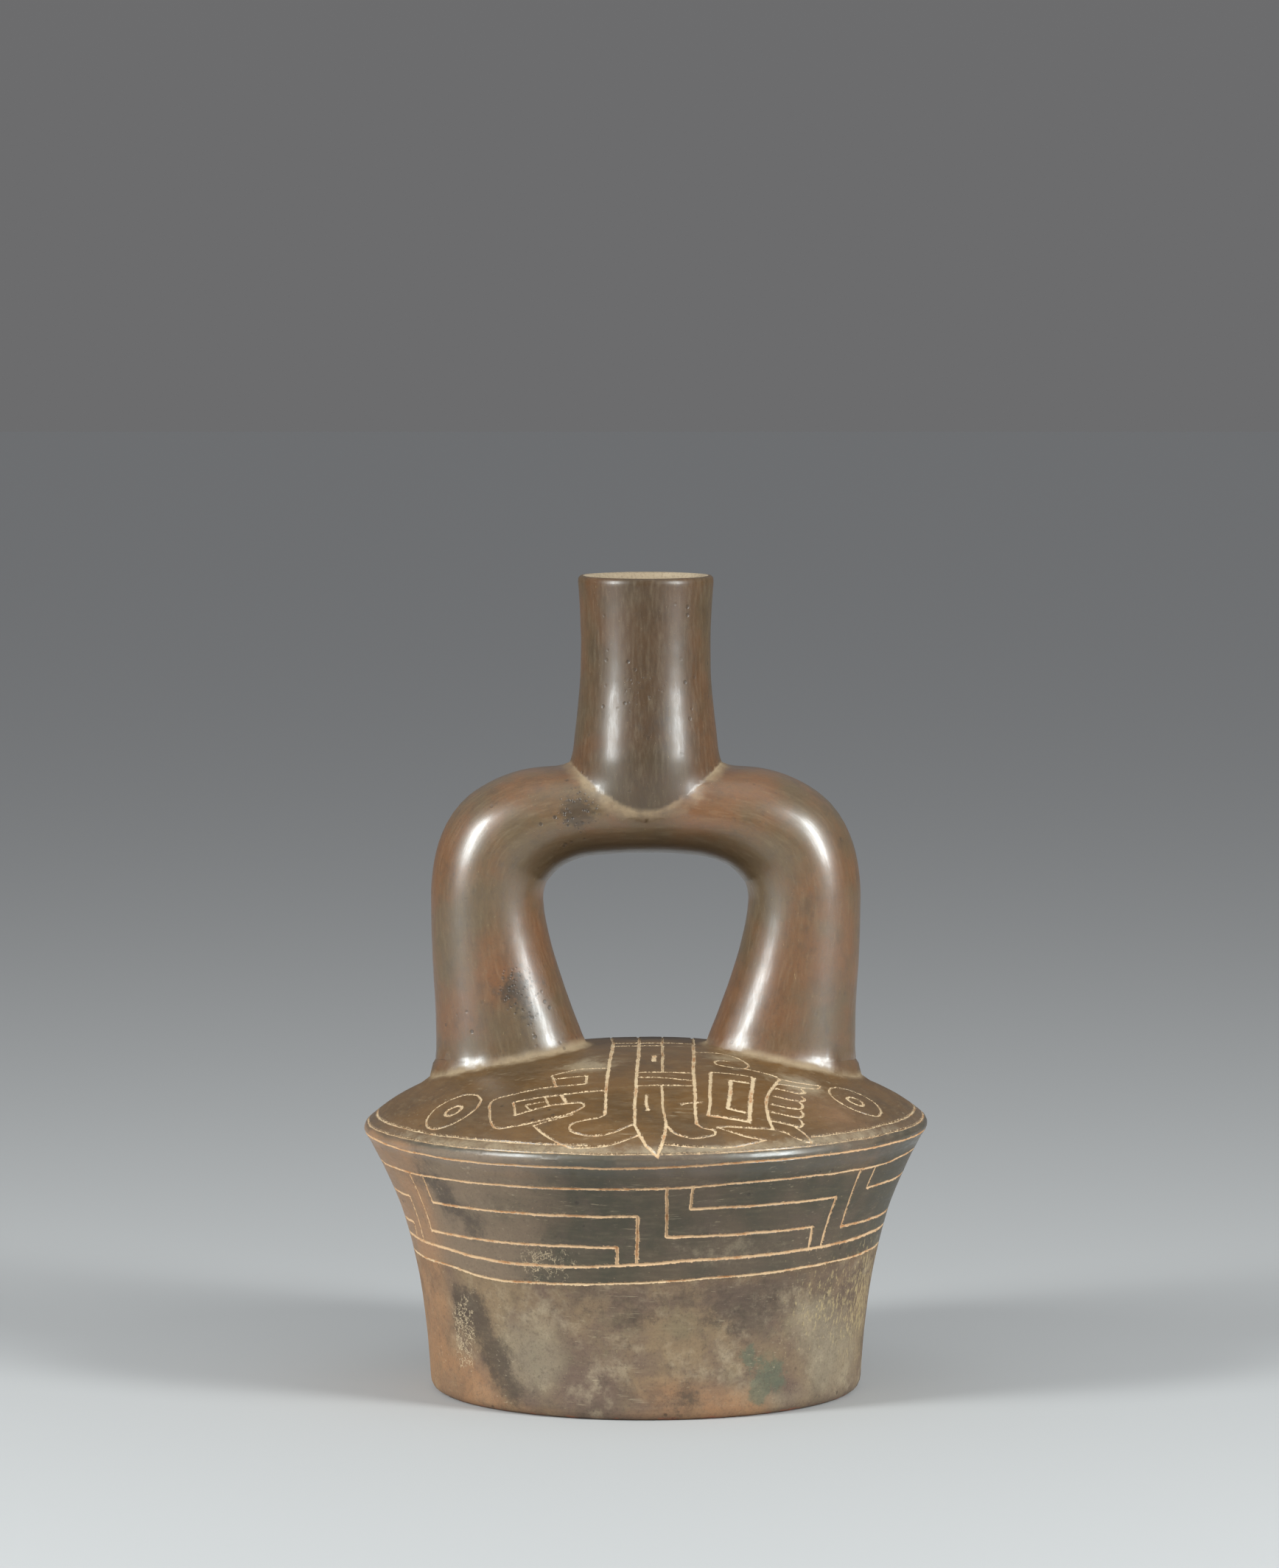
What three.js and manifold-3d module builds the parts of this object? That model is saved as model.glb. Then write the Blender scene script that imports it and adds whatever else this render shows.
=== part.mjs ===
// Stirrup spout vessel of fired clay, modelled as one hollow solid.
// Millimetres, +Z up. The origin is the middle of the flat underside.
// The front, with the carved head on the cap, faces -Y; the stirrup stands along X.

import * as THREE from 'three';
import Module from 'manifold-3d';
import { mergeVertices } from 'three/addons/utils/BufferGeometryUtils.js';

const wasm = await Module();
wasm.setup();

// ---- driving dimensions ----

const HEIGHT = 240; // rest plane to lip
const WALL = 4.8; // fired wall of the chamber
const TUBE_WALL = 4.6; // fired wall of the stirrup
const LIP_RADIUS = 19.7;
const MOUTH_RADIUS = 17.0;

const CHAMBER_SIDES = 40; // facets round the chamber
const CAVITY_SIDES = 24;
const SPOUT_SIDES = 24;
const TUBE_SIDES = 16; // facets round the stirrup
const BORE_SIDES = 10;

const GROOVE_WIDTH = 1.7; // every incised line
const GROOVE_DEPTH = 0.8;

// Outline of the chamber from the flat underside, up the flaring wall, over the
// shoulder and along the low cap to its crown: radius, height.
const FOOT_RADIUS = 61.5;
const SHOULDER = { radius: 83.1, height: 77.8 };
const CROWN_HEIGHT = 101.8;
const WALL_OUTLINE = [
  [FOOT_RADIUS, 0], [63.4, 2.2], [64.0, 9], [65.0, 20], [67.4, 35.4],
  [71.6, 52.9], [76.9, 65.8], [81.4, 74.4], [SHOULDER.radius, SHOULDER.height],
];
const CAP_OUTLINE = [
  [SHOULDER.radius, SHOULDER.height], [82.3, 79.6], [75.1, 85.0], [64.9, 90.0],
  [50, 95.7], [30, 100], [0, CROWN_HEIGHT],
];
const WALL_RINGS = [41.2, 46.7, 70.0, 76.0]; // heights of the lines round the wall
const CAP_RINGS = [79.3, 81.7]; // radii of the two lines round the edge of the cap

// Stirrup, from the foot of one leg to the middle of the arch. Each station holds the
// centre's x and z, the half width in the stirrup's plane and the half depth along Y.
const STIRRUP_STATIONS = [
  [37.0, 85, 20.0, 17.0],
  [39.2, 95.6, 25.2, 20.5],
  [39.8, 98.8, 22.6, 18.2],
  [40.9, 104, 21.4, 17.2],
  [43.2, 116.5, 19.1, 16.6],
  [45.2, 128, 17.7, 16.3],
  [46.5, 140, 16.7, 16.3],
  [46.4, 149, 16.7, 16.6],
  [44.3, 157, 17.1, 16.9],
  [40.4, 162.4, 17.2, 17.2],
  [32.5, 167.5, 15.9, 17.6],
  [22, 170.3, 13.9, 18.1],
  [10, 171.2, 13.2, 18.6],
];
const ARCH_MIDDLE = [0, 171.3, 13.0, 18.8];

// Spout: outer outline from inside the arch to the lip.
const SPOUT_OUTLINE = [
  [12, 168], [17.2, 170.5], [19.8, 174.5], [21.3, 180], [21.6, 186], [21.0, 192],
  [20.0, 201], [19.2, 210], [19.0, 221], [19.3, 230], [LIP_RADIUS, 237],
];
const SPOUT_BORE = [
  [11, 169], [13, 174], [14.8, 186], [15.2, 205], [15.4, 222], [16.4, 235],
];

// ---- solids ----

// A closed geometry as a solid, with its triangles facing out.
function solidOf(geometry) {
  geometry.deleteAttribute('normal');
  geometry.deleteAttribute('uv');
  const merged = mergeVertices(geometry);
  const place = merged.getAttribute('position');
  const corners = [...merged.index.array];
  const kept = [];
  let volume = 0;
  for (let i = 0; i < corners.length; i += 3) {
    const [a, b, c] = corners.slice(i, i + 3);
    if (a === b || b === c || c === a) continue;
    kept.push(a, b, c);
    const [p, q, r] = [a, b, c].map((k) => new THREE.Vector3().fromBufferAttribute(place, k));
    volume += p.dot(q.cross(r));
  }
  if (volume < 0) kept.reverse();
  return new wasm.Manifold(new wasm.Mesh({
    numProp: 3,
    vertProperties: new Float32Array(place.array),
    triVerts: new Uint32Array(kept),
  }));
}

// A solid of revolution about Z from a profile of radius and height pairs.
function turned(profile, sides) {
  const points = profile.map(([radius, height]) => new THREE.Vector2(radius, height));
  const lathe = new THREE.LatheGeometry(points, sides);
  lathe.rotateX(Math.PI / 2);
  return solidOf(lathe);
}

// A closed skin over a row of rings with the same number of corners each.
function skinned(rings, closed = false) {
  const sides = rings[0].length;
  const positions = rings.flat().flatMap((p) => [p.x, p.y, p.z]);
  const index = [];
  const spans = closed ? rings.length : rings.length - 1;
  for (let i = 0; i < spans; i += 1) {
    for (let j = 0; j < sides; j += 1) {
      const next = (j + 1) % sides;
      const here = i * sides;
      const there = ((i + 1) % rings.length) * sides;
      index.push(here + j, here + next, there + next, here + j, there + next, there + j);
    }
  }
  if (!closed) {
    const last = (rings.length - 1) * sides;
    for (let j = 1; j < sides - 1; j += 1) {
      index.push(0, j + 1, j, last, last + j, last + j + 1);
    }
  }
  const geometry = new THREE.BufferGeometry();
  geometry.setAttribute('position', new THREE.Float32BufferAttribute(positions, 3));
  geometry.setIndex(index);
  return solidOf(geometry);
}

// ---- chamber ----

// The outline with a notch cut in it for each line that runs all the way round.
function notched(outline, marks, axis) {
  const result = [];
  for (let i = 0; i < outline.length - 1; i += 1) {
    const start = new THREE.Vector2(...outline[i]);
    const run = new THREE.Vector2(...outline[i + 1]).sub(start);
    const inward = new THREE.Vector2(-run.y, run.x).normalize();
    const [from, to] = [outline[i][axis], outline[i + 1][axis]];
    result.push(outline[i]);
    const shares = marks
      .map((mark) => (mark - from) / (to - from))
      .filter((share) => share > 0 && share < 1)
      .sort((a, b) => a - b);
    for (const share of shares) {
      const half = GROOVE_WIDTH / 2 / run.length();
      for (const [step, depth] of [[-half, 0], [0, GROOVE_DEPTH], [half, 0]]) {
        const point = start.clone().addScaledVector(run, share + step);
        point.addScaledVector(inward, depth);
        result.push([point.x, point.y]);
      }
    }
  }
  return result;
}

const smoothCurve = (pairs) => new THREE.SplineCurve(pairs.map((p) => new THREE.Vector2(...p)));
const smoothPairs = (pairs, spans) => smoothCurve(pairs).getPoints(spans).map((p) => [p.x, p.y]);

const chamberProfile = [
  [0, 0],
  ...notched(WALL_OUTLINE, WALL_RINGS, 1),
  ...notched(CAP_OUTLINE, CAP_RINGS, 0),
  [0, CROWN_HEIGHT],
];

const cavityProfile = [
  [0, WALL], [FOOT_RADIUS - 8, WALL], [FOOT_RADIUS - 2.8, 8],
  [59.6, 14], [62.4, 34], [68.6, 57], [77.2, 75.4],
  [77.2, 78.0], [70, 82.2], [48, 91.2], [26, 95.2], [0, CROWN_HEIGHT - WALL],
];

// ---- stirrup and spout ----

// Rings of the stirrup from one foot over the arch to the other, thinned by an inset.
function stirrupRings(spans, sides, inset, widest) {
  const half = STIRRUP_STATIONS.map(([x, z]) => new THREE.Vector3(-x, 0, z));
  const mirrored = half.map((p) => new THREE.Vector3(-p.x, 0, p.z)).reverse();
  const middle = new THREE.Vector3(ARCH_MIDDLE[0], 0, ARCH_MIDDLE[1]);
  const path = new THREE.CatmullRomCurve3([...half, middle, ...mirrored], false, 'catmullrom', 0.5);
  const stations = [...STIRRUP_STATIONS, ARCH_MIDDLE, ...[...STIRRUP_STATIONS].reverse()];
  const widths = new THREE.CatmullRomCurve3(
    stations.map(([, , width, depth]) => new THREE.Vector3(width, depth, 0)), false, 'catmullrom', 0.5,
  );
  const rings = [];
  for (let i = 0; i <= spans; i += 1) {
    const share = i / spans;
    const centre = path.getPoint(share);
    const along = path.getTangent(share);
    const across = new THREE.Vector3(-along.z, 0, along.x);
    const size = widths.getPoint(share);
    const width = Math.min(size.x - inset, widest);
    const depth = Math.min(size.y - inset, widest);
    const ring = [];
    for (let j = 0; j < sides; j += 1) {
      const turn = (2 * Math.PI * (j + 0.5)) / sides;
      const corner = centre.clone().addScaledVector(across, width * Math.cos(turn));
      corner.y = depth * Math.sin(turn);
      ring.push(corner);
    }
    rings.push(ring);
  }
  return rings;
}

const spoutProfile = [
  [0, 168], ...smoothPairs(SPOUT_OUTLINE, 10),
  [LIP_RADIUS, HEIGHT - 1.2], [LIP_RADIUS - 0.9, HEIGHT], [0, HEIGHT],
];
const boreProfile = [
  [0, 169], ...smoothPairs(SPOUT_BORE, 5),
  [MOUTH_RADIUS, HEIGHT - 1.4], [MOUTH_RADIUS + 0.9, HEIGHT + 1], [0, HEIGHT + 1],
];

// ---- incised lines ----

// Where a profile line has a given radius or height, with its outward normal there.
function onLine(line, value, axis) {
  for (let i = 0; i < line.length - 1; i += 1) {
    const [from, to] = [line[i][axis], line[i + 1][axis]];
    const share = (value - from) / (to - from);
    if (share >= 0 && share <= 1) {
      const start = new THREE.Vector2(...line[i]);
      const run = new THREE.Vector2(...line[i + 1]).sub(start);
      const place = start.addScaledVector(run, share);
      return { place, normal: new THREE.Vector2(run.y, -run.x).normalize() };
    }
  }
  throw new Error(`nothing on the line at ${value}`);
}

// A point of the cap from its plan place: u to the right, v from the crown to the front.
function onCap([u, v]) {
  const radius = Math.hypot(u, v);
  const turn = Math.atan2(-v, u);
  return revolved(onLine(CAP_OUTLINE, Math.min(radius, SHOULDER.radius - 0.3), 0), turn);
}

// A point of the wall from degrees to the right of the front, and its height.
function onWall([degrees, height]) {
  const turn = THREE.MathUtils.degToRad(degrees - 90);
  return revolved(onLine(WALL_OUTLINE, height, 1), turn);
}

function revolved({ place, normal }, turn) {
  const out = new THREE.Vector3(Math.cos(turn), Math.sin(turn), 0);
  const up = new THREE.Vector3(0, 0, 1);
  return {
    point: out.clone().multiplyScalar(place.x).addScaledVector(up, place.y),
    normal: out.clone().multiplyScalar(normal.x).addScaledVector(up, normal.y),
  };
}

// A three-sided cutter that follows a stroke over the surface with its edge at the
// bottom of the groove and its flat back proud of the clay.
const PROUD = 0.9;
const CAP_STEP = 16; // longest straight run of a cutter on the cap

// Shares of a run at which a cutter bends: evenly over the cap, and on the wall in the
// middle of each of the chamber's facets.
function capBends(a, b) {
  const spans = Math.ceil(Math.hypot(b[0] - a[0], b[1] - a[1]) / CAP_STEP);
  return Array.from({ length: spans - 1 }, (_, i) => (i + 1) / spans);
}
function wallBends(a, b) {
  const facet = 360 / CHAMBER_SIDES;
  const shares = [];
  const first = (Math.ceil(a[0] / facet) + 0.5) * facet;
  for (let middle = first; middle < b[0]; middle += facet) {
    shares.push((middle - a[0]) / (b[0] - a[0]));
  }
  return shares;
}
function cutter(stroke, surface, bends) {
  const closed = stroke[0] === stroke[stroke.length - 1];
  const path = [];
  for (let i = 0; i < stroke.length - 1; i += 1) {
    const [a, b] = [stroke[i], stroke[i + 1]];
    for (const share of [0, ...bends(a, b)]) {
      path.push([a[0] + (b[0] - a[0]) * share, a[1] + (b[1] - a[1]) * share]);
    }
  }
  if (!closed) path.push(stroke[stroke.length - 1]);
  const spots = path.map(surface);
  const count = spots.length;
  const half = (GROOVE_WIDTH / 2) * (1 + PROUD / GROOVE_DEPTH);
  const rings = spots.map(({ point, normal }, i) => {
    const atStart = i === 0 && !closed;
    const atEnd = i === count - 1 && !closed;
    const before = spots[atStart ? 0 : (i + count - 1) % count].point;
    const after = spots[atEnd ? i : (i + 1) % count].point;
    const leaving = atEnd ? point.clone().sub(before) : after.clone().sub(point);
    const arriving = atStart ? leaving.clone() : point.clone().sub(before);
    const along = arriving.normalize().clone().add(leaving.normalize()).normalize();
    const side = normal.clone().cross(along).normalize();
    const mitre = half / Math.max(0.6, arriving.dot(along));
    return [
      point.clone().addScaledVector(normal, PROUD).addScaledVector(side, -mitre),
      point.clone().addScaledVector(normal, -GROOVE_DEPTH),
      point.clone().addScaledVector(normal, PROUD).addScaledVector(side, mitre),
    ];
  });
  return skinned(rings, closed);
}

// A round line, such as an eye, as a closed stroke.
function circle(u, v, radius, sides) {
  const ring = [];
  for (let i = 0; i < sides; i += 1) {
    const turn = (2 * Math.PI * i) / sides;
    ring.push([u + radius * Math.cos(turn), v + radius * Math.sin(turn)]);
  }
  return [...ring, ring[0]];
}

// A four-sided line with its long sides leaning a little, as a closed stroke.
function frame(u, v, width, height, lean) {
  const corner = (across, down) => [u + (across * width) / 2 - down * lean, v + (down * height) / 2];
  const first = corner(-1, -1);
  return [first, corner(1, -1), corner(1, 1), corner(-1, 1), first];
}

// The band over the crown: four long lines, tied by cross lines, that end at the front
// edge of the cap in a fang between two hooked lips. At the back they just stop.
const THROAT = { left: -11, right: 14, inner: [-3, 5], back: -62 };
const throat = [
  [[THROAT.left, THROAT.back], [THROAT.left, 65.6]],
  [[THROAT.inner[0], THROAT.back], [THROAT.inner[0], 71.5]],
  [[THROAT.inner[1], THROAT.back], [THROAT.inner[1], 40]],
  [[THROAT.inner[1], 50], [THROAT.inner[1], 72]],
  [[THROAT.right, THROAT.back], [THROAT.right, 69.5]],
  ...[40, 45, 50].map((v) => [[THROAT.inner[0], v], [THROAT.right, v]]),
  [[THROAT.left, 7], [THROAT.right, 7]],
];
const lips = [
  [[THROAT.inner[0], 71.5], [0, 78.6], [3.2, 82.4]],
  [[THROAT.inner[1], 72], [4.6, 78], [3.2, 82.4]],
  [[THROAT.left, 65.6], [-19.4, 67.6], [-21.6, 70.4], [-15.5, 74.5], [-9.3, 74], [THROAT.inner[0], 71.5]],
  [[THROAT.right, 69.5], [19.6, 72], [18, 74.8], [10.4, 75.8], [THROAT.inner[1], 72]],
  [[-20, 77.8], [-26.5, 73.6], [-32, 65.3]],
  [[-32, 65.3], [-21, 63.6]],
  [[20, 70.3], [26, 71.8], [33.6, 71.4]],
  [[33.6, 71.4], [27, 75.7], [20, 78]],
  [[21, 69.9], [36.4, 66.3], [47.2, 66]],
];

// Left cheek: a long jaw folded back on itself, with a small block above it.
const jaw = [
  [[THROAT.left, 35], [-19.4, 34], [-27.3, 37.2], [-26.3, 46.3]],
  [[-25.6, 40.6], [-17, 40.6], [-17.2, 47], [-41.5, 44.8], [-44.8, 50], [-41.5, 62.4],
    [-23.3, 63.2], [-18, 59.6]],
  [[-18, 59.6], [-37.4, 58], [-38, 50.6], [THROAT.left, 52.4]],
];

// Right cheek: a scroll, two frames one in the other, and a paw with its claws.
const CLAWS = { count: 5, pitch: 5.2, first: 42, root: 36.4, tip: 45.4 };
const paw = [
  [[THROAT.right, 16.2], [22, 15.6], [29.4, 23.4], [28.4, 30], [20.6, 29.4], [23, 24.4]],
  [[28.4, 30], [38.9, 33.8]],
  [[38.9, 33.8], [35, 50], [36.4, 66]],
  [[38.9, 33.8], [50.2, 29.8]],
  [[50.2, 29.8], [38.2, 38.2]],
];
for (let i = 0; i < CLAWS.count; i += 1) {
  const v = CLAWS.first + CLAWS.pitch * i;
  paw.push([[CLAWS.root, v], [CLAWS.tip, v - 2]]);
}
const frames = [frame(24.4, 50.9, 11.9, 28.2, 0.7), frame(26.6, 51.4, 5.2, 18.6, 0.5)];

// Round eyes, each a ring round a smaller ring.
const EYE_RADIUS = 7.8;
const PUPIL_RADIUS = 2.7;
const EYES = [[-55.8, 42.2], [61, 31.2]];
const eyes = EYES.flatMap(([u, v]) => [circle(u, v, EYE_RADIUS, 10), circle(u, v, PUPIL_RADIUS, 6)]);

// The stepped fret round the wall: each unit is two lines that leave the upper ring, run
// along the band and drop to the lower ring. The units are cut by eye, so they differ.
const FRET_UNITS = [[-65, -2], [4.5, 46], [52, 108], [115, 171], [178, 231], [238, 288]];
const FRET_TOP = WALL_RINGS[2];
const FRET_FOOT = WALL_RINGS[1];
const FRET_GAP = 5.2; // degrees between a unit's two lines
const FRET_LEVELS = [62, 54]; // where the two lines run
const fret = FRET_UNITS.flatMap(([start, end]) => FRET_LEVELS.map((level, i) => {
  const from = start + FRET_GAP * (1 - i);
  const to = end - FRET_GAP * i;
  return [[from, FRET_TOP], [from, level], [to, level], [to, FRET_FOOT]];
}));

const capStrokes = [...throat, ...lips, ...jaw, ...paw, ...frames, ...eyes];

// ---- the vessel ----

const chamber = turned(chamberProfile, CHAMBER_SIDES);
const stirrup = skinned(stirrupRings(30, TUBE_SIDES, 0, Infinity));
const spout = turned(spoutProfile, SPOUT_SIDES);
const cavity = turned(cavityProfile, CAVITY_SIDES);
const tubeBore = skinned(stirrupRings(20, BORE_SIDES, TUBE_WALL, 13.6));
const spoutBore = turned(boreProfile, 18);

let body = chamber.add(stirrup).add(spout).subtract(cavity).subtract(tubeBore).subtract(spoutBore);
for (const stroke of capStrokes) body = body.subtract(cutter(stroke, onCap, capBends));
for (const stroke of fret) body = body.subtract(cutter(stroke, onWall, wallBends));

const mesh = body.getMesh();
const geometry = new THREE.BufferGeometry();
geometry.setAttribute('position', new THREE.BufferAttribute(mesh.vertProperties, 3));
geometry.setIndex(new THREE.BufferAttribute(mesh.triVerts, 1));
geometry.computeVertexNormals();

const clay = new THREE.MeshStandardMaterial({ color: 0x6a5646, roughness: 0.42, metalness: 0 });
const vessel = new THREE.Mesh(geometry, clay);
vessel.name = 'vessel';

const part = new THREE.Group();
part.add(vessel);

export default part;
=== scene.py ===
"""A stirrup spout vessel of burnished clay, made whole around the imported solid."""
import math
import random

import bmesh
import bpy
import numpy as np
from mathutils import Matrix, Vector, kdtree, noise
from mathutils.geometry import delaunay_2d_cdt


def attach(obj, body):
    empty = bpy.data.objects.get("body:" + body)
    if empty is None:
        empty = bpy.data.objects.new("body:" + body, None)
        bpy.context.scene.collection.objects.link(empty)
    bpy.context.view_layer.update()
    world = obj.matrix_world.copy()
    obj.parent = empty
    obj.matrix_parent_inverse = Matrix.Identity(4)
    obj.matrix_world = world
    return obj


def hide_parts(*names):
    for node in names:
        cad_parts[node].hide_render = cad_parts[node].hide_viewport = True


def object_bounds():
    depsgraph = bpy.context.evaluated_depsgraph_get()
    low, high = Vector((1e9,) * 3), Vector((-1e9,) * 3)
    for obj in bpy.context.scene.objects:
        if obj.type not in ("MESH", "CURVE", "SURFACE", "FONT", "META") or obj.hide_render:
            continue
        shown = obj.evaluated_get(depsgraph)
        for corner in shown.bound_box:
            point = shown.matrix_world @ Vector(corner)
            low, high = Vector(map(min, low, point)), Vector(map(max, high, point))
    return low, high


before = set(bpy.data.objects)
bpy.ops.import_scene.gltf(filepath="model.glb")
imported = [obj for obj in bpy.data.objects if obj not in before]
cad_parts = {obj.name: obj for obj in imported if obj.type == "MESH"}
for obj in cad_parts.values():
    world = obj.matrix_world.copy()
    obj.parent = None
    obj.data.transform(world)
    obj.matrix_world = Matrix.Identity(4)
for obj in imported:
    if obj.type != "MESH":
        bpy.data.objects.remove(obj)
cad_low, cad_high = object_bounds()
random.seed(7)  # every run gives the same vessel

# ---------------------------------------------------------------- camera
# The eye stands two metres off and a little above the lip, and looks down on the cap.

HEIGHT = 240
MM = (cad_high.z - cad_low.z) / HEIGHT  # the vessel stands 240 of its millimetres tall
EYE_DISTANCE = 2092 * MM
EYE_HEIGHT = 355.9 * MM
EYE_SIDE = -1.84 * MM
LOOK_DOWN = math.radians(4.847)
LENS = 163.8
SENSOR = 36

camera = bpy.data.objects.new("camera", bpy.data.cameras.new("camera"))
camera.location = (EYE_SIDE, -EYE_DISTANCE, EYE_HEIGHT)
camera.rotation_euler = (math.pi / 2 - LOOK_DOWN, 0, 0)
camera.data.lens = LENS
camera.data.sensor_width = SENSOR
camera.data.clip_start = 50 * MM
bpy.context.scene.collection.objects.link(camera)
bpy.context.scene.camera = camera

# ---------------------------------------------------------------- chamber
# A drum with a flat underside, a wall that flares to a sharp shoulder, and a low cap.
# It is built of coils, scraped thin and burnished, so no line on it is quite true.

SHOULDER_RADIUS = (cad_high.y - cad_low.y) / 2 / MM
FOOT_RADIUS = 61.5
SHOULDER_HEIGHT = 78.2
CROWN = 101.8  # height of the cap's middle
OUTLINE = [  # radius and height, from the edge of the underside to the crown
    (FOOT_RADIUS, 0), (62.9, 0.9), (63.6, 3), (64.0, 9), (65.0, 20), (67.3, 35.4),
    (71.6, 52.9), (76.9, 65.8), (81.2, 74.2), (82.8, 76.8), (SHOULDER_RADIUS, SHOULDER_HEIGHT),
    (82.2, 79.8), (75.1, 85.0), (64.9, 90.0), (50, 95.7), (30, 100), (12, 101.6), (0, CROWN),
]


def smooth_line(points, step):
    """Points of a smooth line through the given ones, about a step apart."""
    points = np.array(points, float)
    ends = np.vstack([2 * points[0] - points[1], points, 2 * points[-1] - points[-2]])
    line = []
    for a, b, c, d in zip(ends, ends[1:], ends[2:], ends[3:]):
        count = max(1, round(np.linalg.norm(c - b) / step))
        for t in np.arange(count) / count:
            line.append(0.5 * (2 * b + (c - a) * t + (2 * a - 5 * b + 4 * c - d) * t**2
                               + (3 * b - a - 3 * c + d) * t**3))
    return np.array(line + [points[-1]])


outline = smooth_line(OUTLINE, 0.4)
rim = int(np.argmin(np.abs(outline[:, 1] - SHOULDER_HEIGHT)))
wall_line, cap_line = outline[: rim + 1], outline[rim:][::-1]


def run_along(line):
    """Length from the line's start to each of its points."""
    return np.concatenate([[0], np.cumsum(np.linalg.norm(np.diff(line, axis=0), axis=1))])


# Each half of the skin is laid out flat, grooved, and set back in place. The cap unrolls
# to a disc. The wall unrolls to a strip that is stretched so that no circle on it changes
# shape: x is the way round, y the way up, and both scale by the wall's radius.
cap_run = run_along(cap_line)
STRIP_RADIUS = 74
wall_run = run_along(wall_line)
wall_up = np.concatenate([[0], np.cumsum(
    STRIP_RADIUS * np.diff(wall_run) / ((wall_line[1:, 0] + wall_line[:-1, 0]) / 2))])
SEAM = math.radians(174.5)  # the strip is cut open between two units of the fret


def cap_flat(u, v):
    """Flat place of a point of the cap: u to the right and v to the front of the crown."""
    radius = math.hypot(u, v)
    run = np.interp(radius, cap_line[:, 0], cap_run)
    return (u * run / radius, -v * run / radius) if radius else (0.0, 0.0)


def wall_flat(degrees, height):
    """Flat place of a point of the wall: degrees to the right of the front, and height."""
    return math.radians(degrees) * STRIP_RADIUS, np.interp(height, wall_line[:, 1], wall_up)


def normals_of(line):
    """Outward normals of an outline, as radius and height."""
    way = np.gradient(line, axis=0)
    way /= np.linalg.norm(way, axis=1)[:, None]
    return np.column_stack([way[:, 1], -way[:, 0]])


wall_normals = normals_of(wall_line)
cap_normals = -normals_of(cap_line)


def cap_place(x, y, depth=0.0):
    """Place in the vessel of a flat point of the cap, so deep under the skin."""
    run = math.hypot(x, y)
    radius, height, out, up = (
        np.interp(run, cap_run, column)
        for column in (cap_line[:, 0], cap_line[:, 1], cap_normals[:, 0], cap_normals[:, 1]))
    side, back = (x / run, y / run) if run else (0.0, 0.0)
    radius -= depth * out
    return Vector((side * radius, back * radius, height - depth * up))


def wall_place(x, y, depth=0.0):
    """Place in the vessel of a flat point of the wall, so deep under the skin."""
    turn = x / STRIP_RADIUS
    radius, height, out, up = (
        np.interp(y, wall_up, column)
        for column in (wall_line[:, 0], wall_line[:, 1], wall_normals[:, 0], wall_normals[:, 1]))
    radius -= depth * out
    return Vector((math.sin(turn) * radius, -math.cos(turn) * radius, height - depth * up))


def wall_stretch(x, y):
    """How much larger the wall is when it lies flat."""
    return STRIP_RADIUS / np.interp(y, wall_up, wall_line[:, 0])


def cap_stretch(x, y):
    return 1.0


# The lines were scratched freehand through the burnish, so each wanders a little, swells
# and thins, and has ragged edges.
LINE_WIDTH = 0.82
BOLD = 1.08
FINE = 0.68
GROOVE_DEPTH = 0.32
THROWN_UP = 0.05  # height of the lip beside a line
FADE = 0.4  # a line grows shallow so near to the shoulder
WANDER = 0.25
RAGGED = 0.34
ROWS = [  # rows of points along a line: share of its half width, and how far past that
    (0, 0), (0.55, 0), (-0.55, 0), (1, 0), (-1, 0), (1, 0.45), (-1, 0.45)]


def wander(place):
    """How far a freehand line strays to its side."""
    return WANDER * noise.noise(place * 0.11) + 0.5 * WANDER * noise.noise(place * 0.5)


def ragged_half(place, width):
    """Half of a line's width, rough from point to point."""
    return 0.5 * width * (1 + RAGGED * noise.noise(place * 1.3) + 0.5 * RAGGED * noise.noise(place * 4.1))


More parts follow.
